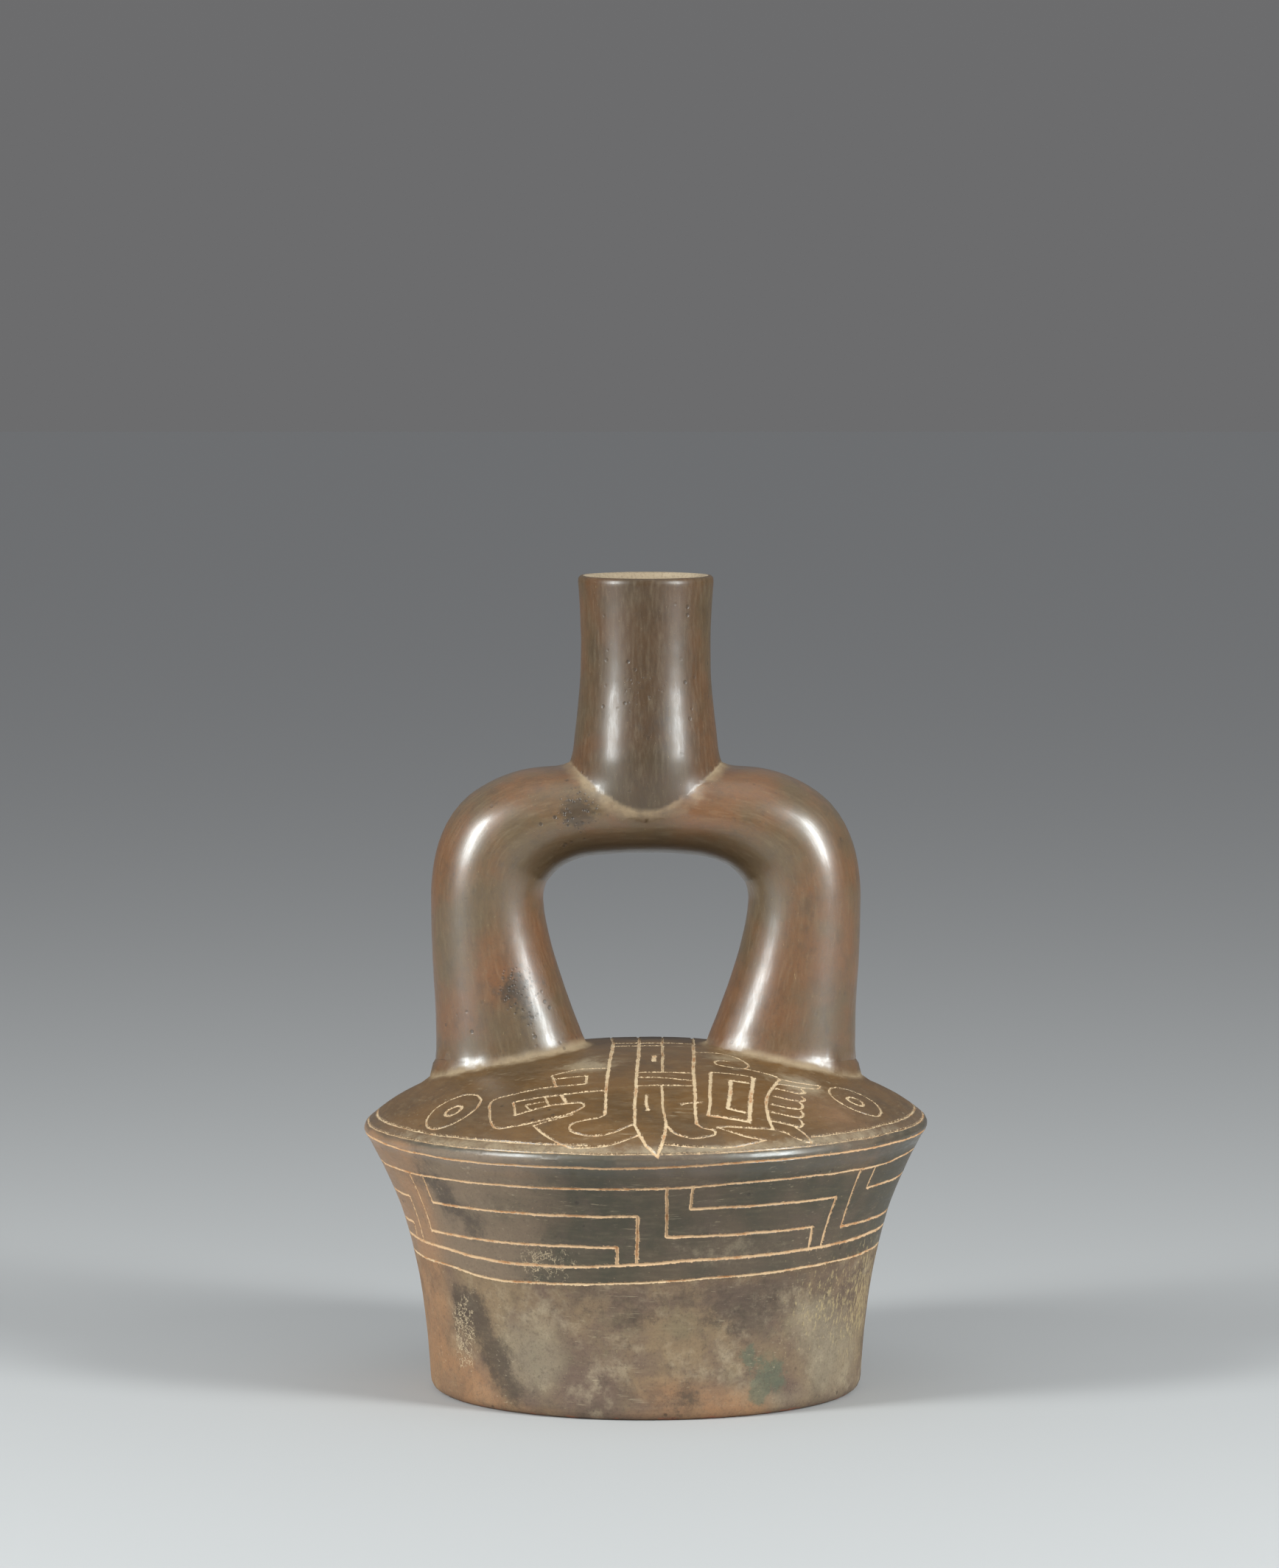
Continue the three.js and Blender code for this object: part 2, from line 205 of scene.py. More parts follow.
class Sheet:
    """One half of the skin laid flat, with the lines to be cut in it."""

    def __init__(self, place, stretch, inside, rim, way_round=0.0):
        self.place, self.stretch, self.inside = place, stretch, inside
        self.rim = rim  # distance from the shoulder
        self.way_round = way_round  # length after which the flat sheet meets itself
        self.points, self.edges, self.cuts = [], [], []

    def chain(self, points, closed=False):
        """Adds a row of points joined by edges."""
        start = len(self.points)
        self.points += [Vector(p) for p in points]
        self.edges += [(start + i, start + i + 1) for i in range(len(points) - 1)]
        if closed:
            self.edges.append((len(self.points) - 1, start))

    def cut(self, line, width=LINE_WIDTH, level=False):
        """Cuts a line, given by flat points. A level line shifts straight up and down."""
        line = np.array(line, float)
        way = np.gradient(line, axis=0)
        side = np.column_stack([-way[:, 1], way[:, 0]])
        if level:
            side = np.tile([0.0, 1.0], (len(line), 1))
        side /= np.maximum(np.linalg.norm(side, axis=1), 1e-9)[:, None]
        centre, halves = [], []
        for (x, y), (sx, sy) in zip(line, side):
            shift = wander(self.place(x, y)) * self.stretch(x, y)
            centre.append((x + sx * shift, y + sy * shift))
            halves.append(ragged_half(self.place(x, y), width) * self.stretch(x, y))
        self.cuts.append((centre, side, halves))

    def lay_cuts(self):
        """Lays rows of points along each line: its middle, its bed, its lips and beyond."""
        for centre, side, halves in self.cuts:
            for share, beyond in ROWS:
                row = []
                for (x, y), (sx, sy), half in zip(centre, side, halves):
                    shift = share * (half + beyond * self.stretch(x, y))
                    spot = (x + sx * shift, y + sy * shift)
                    if self.inside(*spot):
                        row.append(spot)
                    elif row:
                        self.chain(row)
                        row = []
                if row:
                    self.chain(row)

    def fill(self, low, high, spacing):
        """Spreads points between the lines, in staggered and slightly shaken rows."""
        stagger, shake, clear = 0.866, 0.1, 0.62
        near = kdtree.KDTree(len(self.points))
        for i, p in enumerate(self.points):
            near.insert((*p, 0), i)
        near.balance()
        rows = int((high[1] - low[1]) / (spacing * stagger)) + 1
        columns = int((high[0] - low[0]) / spacing) + 1
        for row in range(rows):
            for column in range(columns):
                x = low[0] + (column + 0.5 * (row % 2)) * spacing + random.uniform(-shake, shake) * spacing
                y = low[1] + row * spacing * stagger + random.uniform(-shake, shake) * spacing
                gap = near.find((x, y, 0))[2]
                if self.inside(x, y, 0.6 * spacing) and gap > clear * spacing:
                    self.points.append(Vector((x, y)))

    def settle(self):
        """Readies the search for the line nearest to a place."""
        self.samples = [(x + turn, y, half) for centre, _, halves in self.cuts
                        for (x, y), half in zip(*dense(centre, halves))
                        for turn in sorted({0.0, -self.way_round, self.way_round})]
        self.tree = kdtree.KDTree(len(self.samples))
        for i, (x, y, _) in enumerate(self.samples):
            self.tree.insert((x, y, 0), i)
        self.tree.balance()

    def share(self, x, y):
        """Distance from the nearest line's middle, as a share of its half width."""
        return min(gap / self.samples[i][2] for _, i, gap in self.tree.find_n((x, y, 0), 5))

    def grooved(self):
        """Triangles of the sheet set back in place, with the lines sunk in it."""
        flat, _, faces, *_ = delaunay_2d_cdt(self.points, self.edges, [], 1, 1e-3, False)
        solid = []
        for p in flat:
            share = self.share(p.x, p.y)
            bed = max(0.0, 1 - share**2.2)
            lip = THROWN_UP * max(0.0, 1 - abs(share - 1.25) / 0.35)
            fade = min(1.0, max(0.0, self.rim(p.x, p.y)) / FADE)
            solid.append(self.place(p.x, p.y, fade * (GROOVE_DEPTH * bed - lip)))
        return solid, faces


def dense(centre, halves, step=0.25):
    """The middle line and its half widths, sampled closely."""
    centre = np.array(centre)
    run = run_along(centre)
    at = np.arange(0, run[-1] + step, step).clip(max=run[-1])
    line = np.column_stack([np.interp(at, run, centre[:, k]) for k in (0, 1)])
    return line, np.interp(at, run, halves)


STEP = 0.95  # along every line
RIM_STEP = 1.15
FOOT_COUNT = 300
CLEAR_EDGE = 0.35  # no line or point lies nearer to the shoulder or the foot
rim_count = round(2 * math.pi * SHOULDER_RADIUS / RIM_STEP)
rim_turns = SEAM - 2 * math.pi + 2 * math.pi * np.arange(rim_count + 1) / rim_count

cap_sheet = Sheet(
    cap_place, cap_stretch, lambda x, y, gap=CLEAR_EDGE: math.hypot(x, y) < cap_run[-1] - gap,
    lambda x, y: cap_run[-1] - math.hypot(x, y))
cap_sheet.chain([(cap_run[-1] * math.sin(a), -cap_run[-1] * math.cos(a)) for a in rim_turns[:-1]], True)

strip_left = (SEAM - 2 * math.pi) * STRIP_RADIUS
strip_right = SEAM * STRIP_RADIUS
wall_sheet = Sheet(
    wall_place, wall_stretch,
    lambda x, y, gap=-1e-6: (strip_left + gap < x < strip_right - gap
                             and max(gap, CLEAR_EDGE) < y < wall_up[-1] - max(gap, CLEAR_EDGE)),
    lambda x, y: wall_up[-1] - y, strip_right - strip_left)


def straight(points, step=STEP):
    """Even points along straight runs between the given ones."""
    points = np.array(points, float)
    line = [points[0]]
    for a, b in zip(points, points[1:]):
        count = max(1, round(np.linalg.norm(b - a) / step))
        line += [a + (b - a) * k / count for k in range(1, count + 1)]
    return np.array(line)


def cap_line_cut(points, width=LINE_WIDTH):
    """Cuts straight runs in the cap, between the given places."""
    cap_sheet.cut([cap_flat(u, v) for u, v in straight(points)], width)


def cap_curve_cut(points, width=LINE_WIDTH):
    """Cuts a smooth curve in the cap, through the given places."""
    cap_sheet.cut([cap_flat(u, v) for u, v in smooth_line(points, STEP)], width)


def cap_frame_cut(corners, width=LINE_WIDTH):
    """Cuts a frame in the cap, one side after another, so that its corners stay sharp."""
    for a, b in zip(corners, corners[1:]):
        cap_line_cut([a, b], width)


def eye_cut(u, v, radius, height, width):
    """Cuts a round or an oval, drawn in one stroke."""
    turns = np.linspace(0, 2 * math.pi, 12)
    cap_curve_cut([(u + radius * math.cos(a), v + height * math.sin(a)) for a in turns], width)


# Band over the crown: four long lines with cross lines, then a fang between hooked lips.
# The same lines run down the back.
CROWN_BAND = [
    (BOLD, [(-9.4, 0), (-10.2, 23), (-11.2, 45), (-11.8, 65.6)]),
    (BOLD, [(-1.8, 0), (-2.3, 30), (-3.2, 62), (-3.3, 71.3)]),
    (LINE_WIDTH, [(4.9, 0), (4.8, 39.4)]),
    (LINE_WIDTH, [(4.4, 50.2), (4.9, 62), (5.6, 71)]),
    (BOLD, [(14.1, 0), (13.8, 40), (14.2, 63), (14.3, 69.8)]),
    (LINE_WIDTH, [(-2.1, 40.3), (13.6, 39.3)]),
    (LINE_WIDTH, [(-2.2, 44.3), (6.5, 44.6), (13.7, 45.6)]),
    (LINE_WIDTH, [(-2.4, 50.8), (4.4, 50.2), (13.8, 49.2)]),
    (BOLD, [(-3.3, 71.5), (-2, 75.2), (0.1, 79.4), (3.2, 82.6)]),
    (BOLD, [(5.6, 71), (5.4, 75), (4.5, 79), (3.2, 82.6)]),
]
LIP_HOOKS = [
    [(-11.8, 65.6), (-13.4, 67), (-19.8, 67.8), (-21.8, 69.8), (-19.7, 72.7), (-14.5, 74.7),
     (-9.3, 74), (-6.1, 72.5), (-3.5, 71.3)],
    [(14.3, 69.8), (16.1, 71.6), (19.4, 71.9), (19.7, 73.6), (16.4, 75.2), (12.5, 75.9),
     (8.4, 74.7), (5.7, 71.2)],
]
for way in (1, -1):
    for width, points in CROWN_BAND:
        cap_line_cut([(u, way * v) for u, v in points], width)
    for points in LIP_HOOKS:
        cap_curve_cut([(u, way * v) for u, v in points])
CROSS_WIDTH = 1.6
SLOT_WIDTH = 1.5
cap_line_cut([(-9.4, 0.5), (14.1, 0.5)], CROSS_WIDTH)
cap_line_cut([(-9.6, 6.6), (4.9, 6.6)], CROSS_WIDTH)
cap_line_cut([(2.3, 22.7), (2.3, 28.4)], SLOT_WIDTH)
cap_line_cut([(0.1, 56.8), (0.1, 60), (0.6, 63.6)], BOLD)
cap_line_cut([(11, 60.3), (15.8, 58.7)], FINE)

# Lips and the lines that tie them to the edge of the cap.
cap_curve_cut([(-2, 75.7), (-6.2, 77.5), (-11.3, 78.7), (-16.5, 78.3), (-21.8, 77), (-26.7, 73.1),
               (-29.5, 69.9), (-32.2, 65.4)])
cap_line_cut([(-32.2, 65.4), (-27.5, 64.8), (-21, 63.7)])
cap_line_cut([(20.6, 70.4), (24.5, 71.5), (28.5, 71.9), (33.8, 71.4)])
cap_curve_cut([(33.8, 71.4), (31.7, 73), (26.5, 75.9), (20.4, 77.9), (12.4, 78.9), (5.4, 78.7)])
cap_line_cut([(20.4, 70.6), (23.3, 69.4), (28.6, 68.4), (36.7, 66.3), (39.9, 66), (43.1, 66.7),
              (45.8, 66.6), (47.4, 65.9)])
cap_line_cut([(42.8, 62.3), (44.8, 63.2), (46.8, 64.9), (47.4, 65.9)])

# Left cheek: a long jaw folded back on itself, with a small block above it.
cap_line_cut([(-10.7, 35.4), (-15.1, 34.5), (-19.4, 34.2), (-22.2, 35.2), (-27.2, 37.2)], FINE)
cap_frame_cut([(-27.2, 37.2), (-26.1, 46.2)])
cap_frame_cut([(-25.7, 40.6), (-17, 40.5), (-17.3, 47)])
cap_curve_cut([(-17.3, 47), (-21.4, 46.7), (-29.2, 45.8), (-38, 45.4), (-43.3, 44.9), (-44.8, 47),
               (-44.9, 53), (-44.4, 58.5), (-42.8, 61.8), (-40, 62.9), (-32.4, 63.8), (-23.3, 63.2),
               (-18.6, 61.3), (-17.7, 59.6), (-18.8, 58), (-23.4, 57.4), (-28, 56.9), (-37.6, 58)])
cap_frame_cut([(-37.6, 58), (-37.8, 53), (-38.2, 50.4)])
cap_line_cut([(-38.2, 50.4), (-29.1, 51.3), (-24.5, 52.2), (-13.2, 52.4), (-11.3, 53)])
cap_frame_cut([(-29.1, 51.4), (-28, 56.6)], FINE)
cap_frame_cut([(-24.4, 52.3), (-22.9, 57.3)], BOLD)
cap_frame_cut([(-29, 54.3), (-34.6, 53.9), (-33.4, 56.6)], FINE)

# Right cheek: a scroll, two frames one in the other, and a paw with its claws.
FRAME_WIDTH = 1.3
FRAME_BOLD = 1.5
CLAW_WIDTH = 1.0
cap_curve_cut([(14.4, 16.4), (21, 15.3), (26, 18.1), (28.9, 22.3), (30, 26.4), (28.3, 30.1), (24.2, 30.4),
               (20.6, 29.2), (20.2, 26.2), (21.4, 24.4), (24.2, 24.4)])
cap_line_cut([(28.3, 30.2), (33.2, 30.7), (37.3, 31.6), (38.9, 33.6)])
cap_frame_cut([(19, 37.4), (24.1, 36.7), (30.6, 36.8)])
cap_frame_cut([(31, 37.4), (30.4, 48.7), (29.6, 64.3)], FRAME_BOLD)
cap_frame_cut([(29.4, 65.2), (24.6, 65.3), (17.8, 65.2)], FRAME_WIDTH)
cap_frame_cut([(17.8, 65.3), (18.4, 57.7), (19, 37.4)], BOLD)
cap_frame_cut([(29.4, 42.1), (24.4, 42.3), (24.3, 52), (23.5, 60)], FRAME_WIDTH)
cap_frame_cut([(23.5, 60), (28.4, 60.8)], FRAME_WIDTH)
cap_curve_cut([(38.9, 33.6), (36.6, 41.8), (35.2, 48), (34.6, 55.2), (35.1, 61.2), (36.4, 66.2)], BOLD)
cap_curve_cut([(38.9, 33.6), (43.8, 32.8), (49, 30.4), (50.7, 29.6), (49.8, 32.6), (45.4, 35.6), (41.3, 37),
               (38, 38.3)])
CLAWS = [  # root and tip of each claw
    (37.8, 41.9, 46, 38.8), (37.4, 47.4, 46, 44.4), (36.2, 53, 45.4, 49), (36, 57.8, 45.2, 54.2),
    (35.9, 62.3, 45, 59.4),
]
for root_u, root_v, tip_u, tip_v in CLAWS:
    cap_curve_cut([(root_u, root_v), (41, root_v - 0.3), (44.2, (root_v + tip_v) / 2 + 0.6), (tip_u, tip_v),
                   (tip_u - 0.8, tip_v - 1.6)], CLAW_WIDTH)

# Round eyes, each with a pupil.
PUPIL_WIDTH = 1.05
for u, v, radius in ((-55.7, 42.1, 8.0), (61, 31.2, 7.7)):
    eye_cut(u, v, radius, radius + 0.4, LINE_WIDTH)
    eye_cut(u, v + 0.6, 2.5, 2.6, PUPIL_WIDTH)
    eye_cut(-u, -v, radius, radius, LINE_WIDTH)
    eye_cut(-u, -v, 2.6, 2.6, PUPIL_WIDTH)

# Two lines round the edge of the cap. The inner one breaks off on each side of the lips.
EDGE_LINES = [(82.0, 2.4, 362.2, 0.75), (79.4, 36.5, 348, LINE_WIDTH)]  # radius, two turns, width
for radius, start, end, width in EDGE_LINES:
    turns = np.radians(np.arange(start, end, math.degrees(STEP / radius)))
    cap_sheet.cut([cap_flat(radius * math.sin(a), radius * math.cos(a)) for a in turns], width)

# Four lines round the wall, drawn by eye: each is a width and some of its heights.
RINGS = [
    (0.85, {-77: 77.3, -50: 76.2, -30: 75.8, 0: 75.8, 17: 76.7, 33: 77.0, 77: 77.0, 130: 76.4, 180: 76.2}),
    (LINE_WIDTH, {-85: 69.4, -55: 69.2, -17: 69.3, 2: 69.4, 18: 70.3, 35: 70.8, 57: 70.4, 73: 71.6,
                  120: 70.6, 180: 69.6}),
    (1.05, {-80: 47.3, -56: 46.9, -40: 45.3, -21: 45.1, -3: 46.3, 11: 47.4, 30: 47.8, 77: 48.8,
            130: 47.6, 180: 46.6}),
    (LINE_WIDTH, {-80: 41.9, -56: 41.8, -41: 39.4, -21: 40.0, -3: 40.9, 11: 41.7, 31: 42.1, 49: 42.8,
                  80: 43.2, 130: 42.3, 180: 41.4}),
]


def ring_height(ring, degrees):
    """Height of one of the lines, at so many degrees to the right of the front."""
    knots = sorted(RINGS[ring][1].items())
    return float(np.interp(degrees, *np.array(knots).T, period=360))


LEVELLING = (-5, -2.5, 0, 2.5, 5)  # each height is the mean of those so many degrees off
seam_ends = []
ring_turns = np.linspace(math.degrees(SEAM) - 360, math.degrees(SEAM), 500)
for ring, (width, _) in enumerate(RINGS):
    levels = [np.mean([ring_height(ring, d + shift) for shift in LEVELLING]) for d in ring_turns]
    wall_sheet.cut([wall_flat(d, level) for d, level in zip(ring_turns, levels)], width, level=True)
    centre, side, halves = wall_sheet.cuts[-1]
    for share, beyond in ROWS:
        x, y = centre[0]
        seam_ends.append(y + share * (halves[0] + beyond * wall_stretch(x, y)))

# Stepped fret between the second and third lines: each unit is two lines that leave the
# upper line, run along the band and drop to the lower one. They were spaced by eye.
FRET = [  # start and end of the unit in degrees, height of its upper and lower run
    (-61.2, -1.9, 60.9, 51.5), (4.4, 46.6, 63, 54.6), (51.8, 108, 64, 53.2),
    (114.5, 170, 61.5, 52.5), (-179.5, -128, 61.6, 53), (-121.5, -67.4, 60.8, 52),
]
NARROWER = (5.6, 4.8)  # degrees between the unit's two lines, at its start and its end
FRET_WIDTH = 0.95
DROP_WIDTH = 1.1
for start, end, upper, lower in FRET:
    for from_, to, height in ((start, end - NARROWER[1], lower), (start + NARROWER[0], end, upper)):
        slant = random.uniform(-0.5, 0.7)
        top, foot = wall_flat(from_, ring_height(1, from_)), wall_flat(to + slant, ring_height(2, to))
        corner, far_corner = wall_flat(from_ + slant, height), wall_flat(to, height)
        wall_sheet.cut(straight([top, corner]), FRET_WIDTH)
        wall_sheet.cut(straight([corner, far_corner]), FRET_WIDTH)
        wall_sheet.cut(straight([far_corner, foot]), DROP_WIDTH)

SIDE_STEP = 1.8  # along the seam of the strip
side_rows = [y for y in np.arange(SIDE_STEP, wall_up[-1] - 1, SIDE_STEP)
             if min(abs(y - e) for e in seam_ends) > SIDE_STEP / 3]
side_rows = sorted(side_rows + seam_ends)
foot_turns = np.linspace(strip_left, strip_right, FOOT_COUNT + 1)
wall_sheet.chain(
    [(x, 0) for x in foot_turns] + [(strip_right, y) for y in side_rows]
    + [(a * STRIP_RADIUS, wall_up[-1]) for a in rim_turns[::-1]]
    + [(strip_left, y) for y in side_rows[::-1]], True)

SKIN_SPACING = 2.1
cap_sheet.lay_cuts()
cap_sheet.fill((-cap_run[-1],) * 2, (cap_run[-1],) * 2, SKIN_SPACING)
cap_sheet.settle()
wall_sheet.lay_cuts()
wall_sheet.fill((strip_left, 0), (strip_right, wall_up[-1]), SKIN_SPACING)
wall_sheet.settle()

UNDER_RINGS = (54, 44, 33, 22, 11)
UNDER_STEP = 6
under_points = [FOOT_RADIUS * Vector((math.sin(x / STRIP_RADIUS), -math.cos(x / STRIP_RADIUS)))
                for x in foot_turns[:-1]]
for ring in UNDER_RINGS:
    count = round(2 * math.pi * ring / UNDER_STEP)
    turns = 2 * math.pi * np.arange(count) / count
    under_points += [ring * Vector((math.sin(a), math.cos(a))) for a in turns]
under_flat, _, under_faces, *_ = delaunay_2d_cdt(under_points, [], [], 0, 1e-3, False)

chamber_points, chamber_faces = [], []
for solid, faces in (
        cap_sheet.grooved(), wall_sheet.grooved(),
        ([Vector((p.x, p.y, 0)) for p in under_flat], [f[::-1] for f in under_faces])):
    start = len(chamber_points)
    chamber_points += solid
    chamber_faces += [[start + i for i in f] for f in faces]

# The coils were built up a little higher on the right, so the shoulder leans. The lean
# grows up the wall, and dies away over the outer part of the cap.
LEAN = 0.75
LEAN_FULL = 70  # height
LEAN_RING = (55, 80)  # radius


def lean(x, y, z):
    """How far the clay stands above its true place."""
    low, high = LEAN_RING
    share = z / LEAN_FULL if z < SHOULDER_HEIGHT else max(0.0, (math.hypot(x, y) - low) / (high - low))
    return LEAN * x / SHOULDER_RADIUS * min(1.0, share)


for p in chamber_points:
    p.z += lean(*p)


def mesh_object(name, points, faces, weld=0.0):
    """A mesh object in millimetres, with coincident points welded."""
    mesh = bpy.data.meshes.new(name)
    mesh.from_pydata([tuple(p) for p in points], [], faces)
    bm = bmesh.new()
    bm.from_mesh(mesh)
    if weld:
        bmesh.ops.remove_doubles(bm, verts=bm.verts, dist=weld)
    bm.to_mesh(mesh)
    bm.free()
    made = bpy.data.objects.new(name, mesh)
    bpy.context.scene.collection.objects.link(made)
    return made


# ---------------------------------------------------------------- stirrup
# A hollow tube bent into an arch, luted to the cap at both feet. It is fattest at the
# feet and flattens towards the crown of the arch, where the spout stands.

STATIONS = [  # middle of the tube, half its width in the arch's plane, half its depth
    (37.5, 84, 21.6, 16.8), (39.6, 95.6, 22.3, 17.0), (40.0, 99.5, 21.9, 17.0), (40.9, 104, 21.2, 16.9),
    (43.2, 116.5, 19.1, 16.6), (45.2, 128, 17.7, 16.3), (46.5, 140, 16.7, 16.3), (46.4, 149, 16.7, 16.6),
    (44.3, 157, 17.1, 16.9), (40.4, 162.4, 17.2, 17.2), (32.5, 167.5, 15.9, 17.6), (22, 170.3, 13.9, 18.1),
    (10, 171.2, 13.2, 18.6),
]
CREST = (0, 171.3, 13.0, 18.8)
TUBE_SIDES = 72
TUBE_WALL = 4.6

right_half = np.array(STATIONS)
left_half = right_half * (-1, 1, 1, 1)
arch = smooth_line(np.vstack([left_half, [CREST], right_half[::-1]]), 1.6)
arch_way = np.gradient(arch[:, :2], axis=0)
arch_way /= np.linalg.norm(arch_way, axis=1)[:, None]


def tube(inset, sides, rows, widest=99.0):
    """Points and faces of the arched tube, thinned by an inset."""
    points, faces = [], []
    picked = np.linspace(0, len(arch) - 1, rows).round().astype(int)
    for (x, z, width, depth), (along, up) in zip(arch[picked], arch_way[picked]):
        for k in range(sides):
            turn = 2 * math.pi * (k + 0.5) / sides
            reach = min(width - inset, widest) * math.cos(turn)
            side = min(depth - inset, widest) * math.sin(turn)
            points.append(Vector((x - up * reach, side, z + along * reach)))
    for row in range(rows - 1):
        for k in range(sides):
            here, beside = row * sides + k, row * sides + (k + 1) % sides
            faces.append((here + sides, beside + sides, beside, here))
    faces.append(tuple(range(sides)))
    faces.append(tuple(range((rows - 1) * sides, rows * sides))[::-1])
    return points, faces


def in_rows(points):
    """Points as rows of numbers, and their distances from the vessel's axis."""
    points = np.array([tuple(p) for p in points])
    return points, np.hypot(points[:, 0], points[:, 1])


def gap_to_tube(points):
    """Distance from the tube's skin to each point, and its nearest station."""
    points, _ = in_rows(points)
    nearest = np.array([int(np.argmin((arch[:, 0] - x) ** 2 + (arch[:, 1] - z) ** 2)) for x, _, z in points])
    offset = points[:, [0, 2]] - arch[nearest, :2]
    across = offset[:, 1] * arch_way[nearest, 0] - offset[:, 0] * arch_way[nearest, 1]
    reach = np.hypot(across, points[:, 1])
    scaled = np.hypot(across / arch[nearest, 2], points[:, 1] / arch[nearest, 3])
    return reach * (1 - 1 / np.maximum(scaled, 1e-6)), nearest


def gap_to_cap(points):
    """Distance from the cap's skin to each point."""
    points, radius = in_rows(points)
    height = np.interp(radius, cap_line[:, 0], cap_line[:, 1])
    up = np.interp(radius, cap_line[:, 0], cap_normals[:, 1])
    return (points[:, 2] - height) * up


def smoothed_in(gap, reach):
    """How far a skin swells beside another, so that the two run together smoothly."""
    return reach / 4 * np.clip(1 - gap / reach, 0, 1.3) ** 2


FOOT_SMEAR = 6.6  # reach of the clay smeared round each foot
FOOT_SMEAR_LEAST = 3.0


def foot_reach(points):
    """The clay smeared round a foot reaches furthest on its outer side, and unevenly."""
    reach = []
    for x, y, _ in points:
        outward = (abs(x) - 40) / 22
        lumps = noise.noise(Vector((x * 0.09, y * 0.09, 3)))
        lumps += 0.6 * noise.noise(Vector((x * 0.25, y * 0.25, 9)))
        reach.append(max(FOOT_SMEAR_LEAST, FOOT_SMEAR + 2.6 * outward + 2.4 * lumps))
    return np.array(reach)


# ---------------------------------------------------------------- spout
# A short neck that swells where it is luted to the arch and turns out a little at the lip.

NECK = [
    (12, 168), (17.2, 170.5), (19.8, 174.5), (21.2, 180), (21.5, 186), (21.0, 192), (20.0, 201), (19.2, 210),
    (19.0, 221), (19.3, 230), (19.7, 236), (19.9, 238.3), (19.8, 239.3), (19.3, 239.9), (18.4, 240.0),
    (17.4, 239.6), (16.8, 238.6), (16.4, 236.8),
]
NECK_OUTER_ROWS = 60  # rows of the smooth line that lie outside the lip
NECK_LOW = 169  # the neck's skin counts above this height
NECK_BORE = [
    (11, 169), (13, 174), (14.8, 186), (15.2, 205), (15.4, 222), (16.2, 233), (16.6, 238), (16.9, 245),
]
NECK_SIDES = 96
FAR = 99.0


def turned(line, sides):
    """Points and faces of a solid of revolution, closed at both ends on its axis."""
    points = [Vector((0, 0, line[0][1]))]
    for radius, height in line:
        points += [Vector((radius * math.cos(a), radius * math.sin(a), height))
                   for a in 2 * math.pi * np.arange(sides) / sides]
    points.append(Vector((0, 0, line[-1][1])))
    faces = []
    for k in range(sides):
        beside = (k + 1) % sides
        faces.append((0, 1 + beside, 1 + k))
        last = 1 + (len(line) - 1) * sides
        faces.append((len(points) - 1, last + k, last + beside))
        for row in range(len(line) - 1):
            here = 1 + row * sides
            faces.append((here + k, here + beside, here + sides + beside, here + sides + k))
    return points, faces


neck_line = smooth_line(NECK, 1.3)
neck_outside = neck_line[:NECK_OUTER_ROWS]


def gap_to_neck(points):
    """Distance from the neck's skin to each point beside it."""
    points, radius = in_rows(points)
    gap = radius - np.interp(points[:, 2], neck_outside[:, 1], neck_outside[:, 0])
    return np.where(points[:, 2] > NECK_LOW, gap, FAR)


JOINT_REACH = 5.0  # clay smeared round the foot of the spout


def swollen(points, faces, gaps):
    """Points moved out along their own normals by the swellings beside other skins."""
    made = mesh_object("blank", points, faces)
    normals = np.array([tuple(v.normal) for v in made.data.vertices])
    bpy.data.objects.remove(made)
    moved = np.array([tuple(p) for p in points]) + normals * sum(gaps)[:, None]
    return [Vector(p) for p in moved]


tube_points, tube_faces = tube(0, TUBE_SIDES, len(arch))
tube_points = swollen(tube_points, tube_faces, [
    smoothed_in(gap_to_cap(tube_points), foot_reach(tube_points)),
    smoothed_in(gap_to_neck(tube_points), JOINT_REACH)])
neck_points, neck_faces = turned(neck_line, NECK_SIDES)
neck_points = swollen(neck_points, neck_faces, [smoothed_in(gap_to_tube(neck_points)[0], JOINT_REACH)])

on_cap = np.array([p.z > SHOULDER_HEIGHT + 0.5 for p in chamber_points])
lift = smoothed_in(gap_to_tube(chamber_points)[0], foot_reach(chamber_points)) * on_cap
for p, rise in zip(chamber_points, lift):
    p.z += rise

# ---------------------------------------------------------------- one hollow piece
# The chamber, the stirrup and the spout are luted while the clay is soft, so they fire as
# one piece. It is hollow throughout: the chamber opens into both legs, and they meet
# under the spout.

WALL = 4.8
LEG_BORE_WIDEST = 13.6
HOLLOW_SIDES = 60
LEG_BORE_SIDES = 40
LEG_BORE_ROWS = 70
NECK_BORE_SIDES = 72
HOLLOW = [
    (FOOT_RADIUS - 8, WALL), (FOOT_RADIUS - 2.8, 8), (59.6, 14), (62.4, 34), (68.6, 57), (77.2, 75.4),
    (77.2, 78), (70, 82.2), (48, 91.2), (26, 95.2), (5, CROWN - WALL),
]


def joined(body, tool, way):
    """Adds a solid to the body, or cuts it away."""
    step = body.modifiers.new(way, "BOOLEAN")
    step.operation = way
    step.solver = "MANIFOLD"
    step.object = tool
    bpy.context.view_layer.update()
    shaped = bpy.data.meshes.new_from_object(body.evaluated_get(bpy.context.evaluated_depsgraph_get()))
    body.modifiers.clear()
    body.data = shaped
    bpy.data.objects.remove(tool)


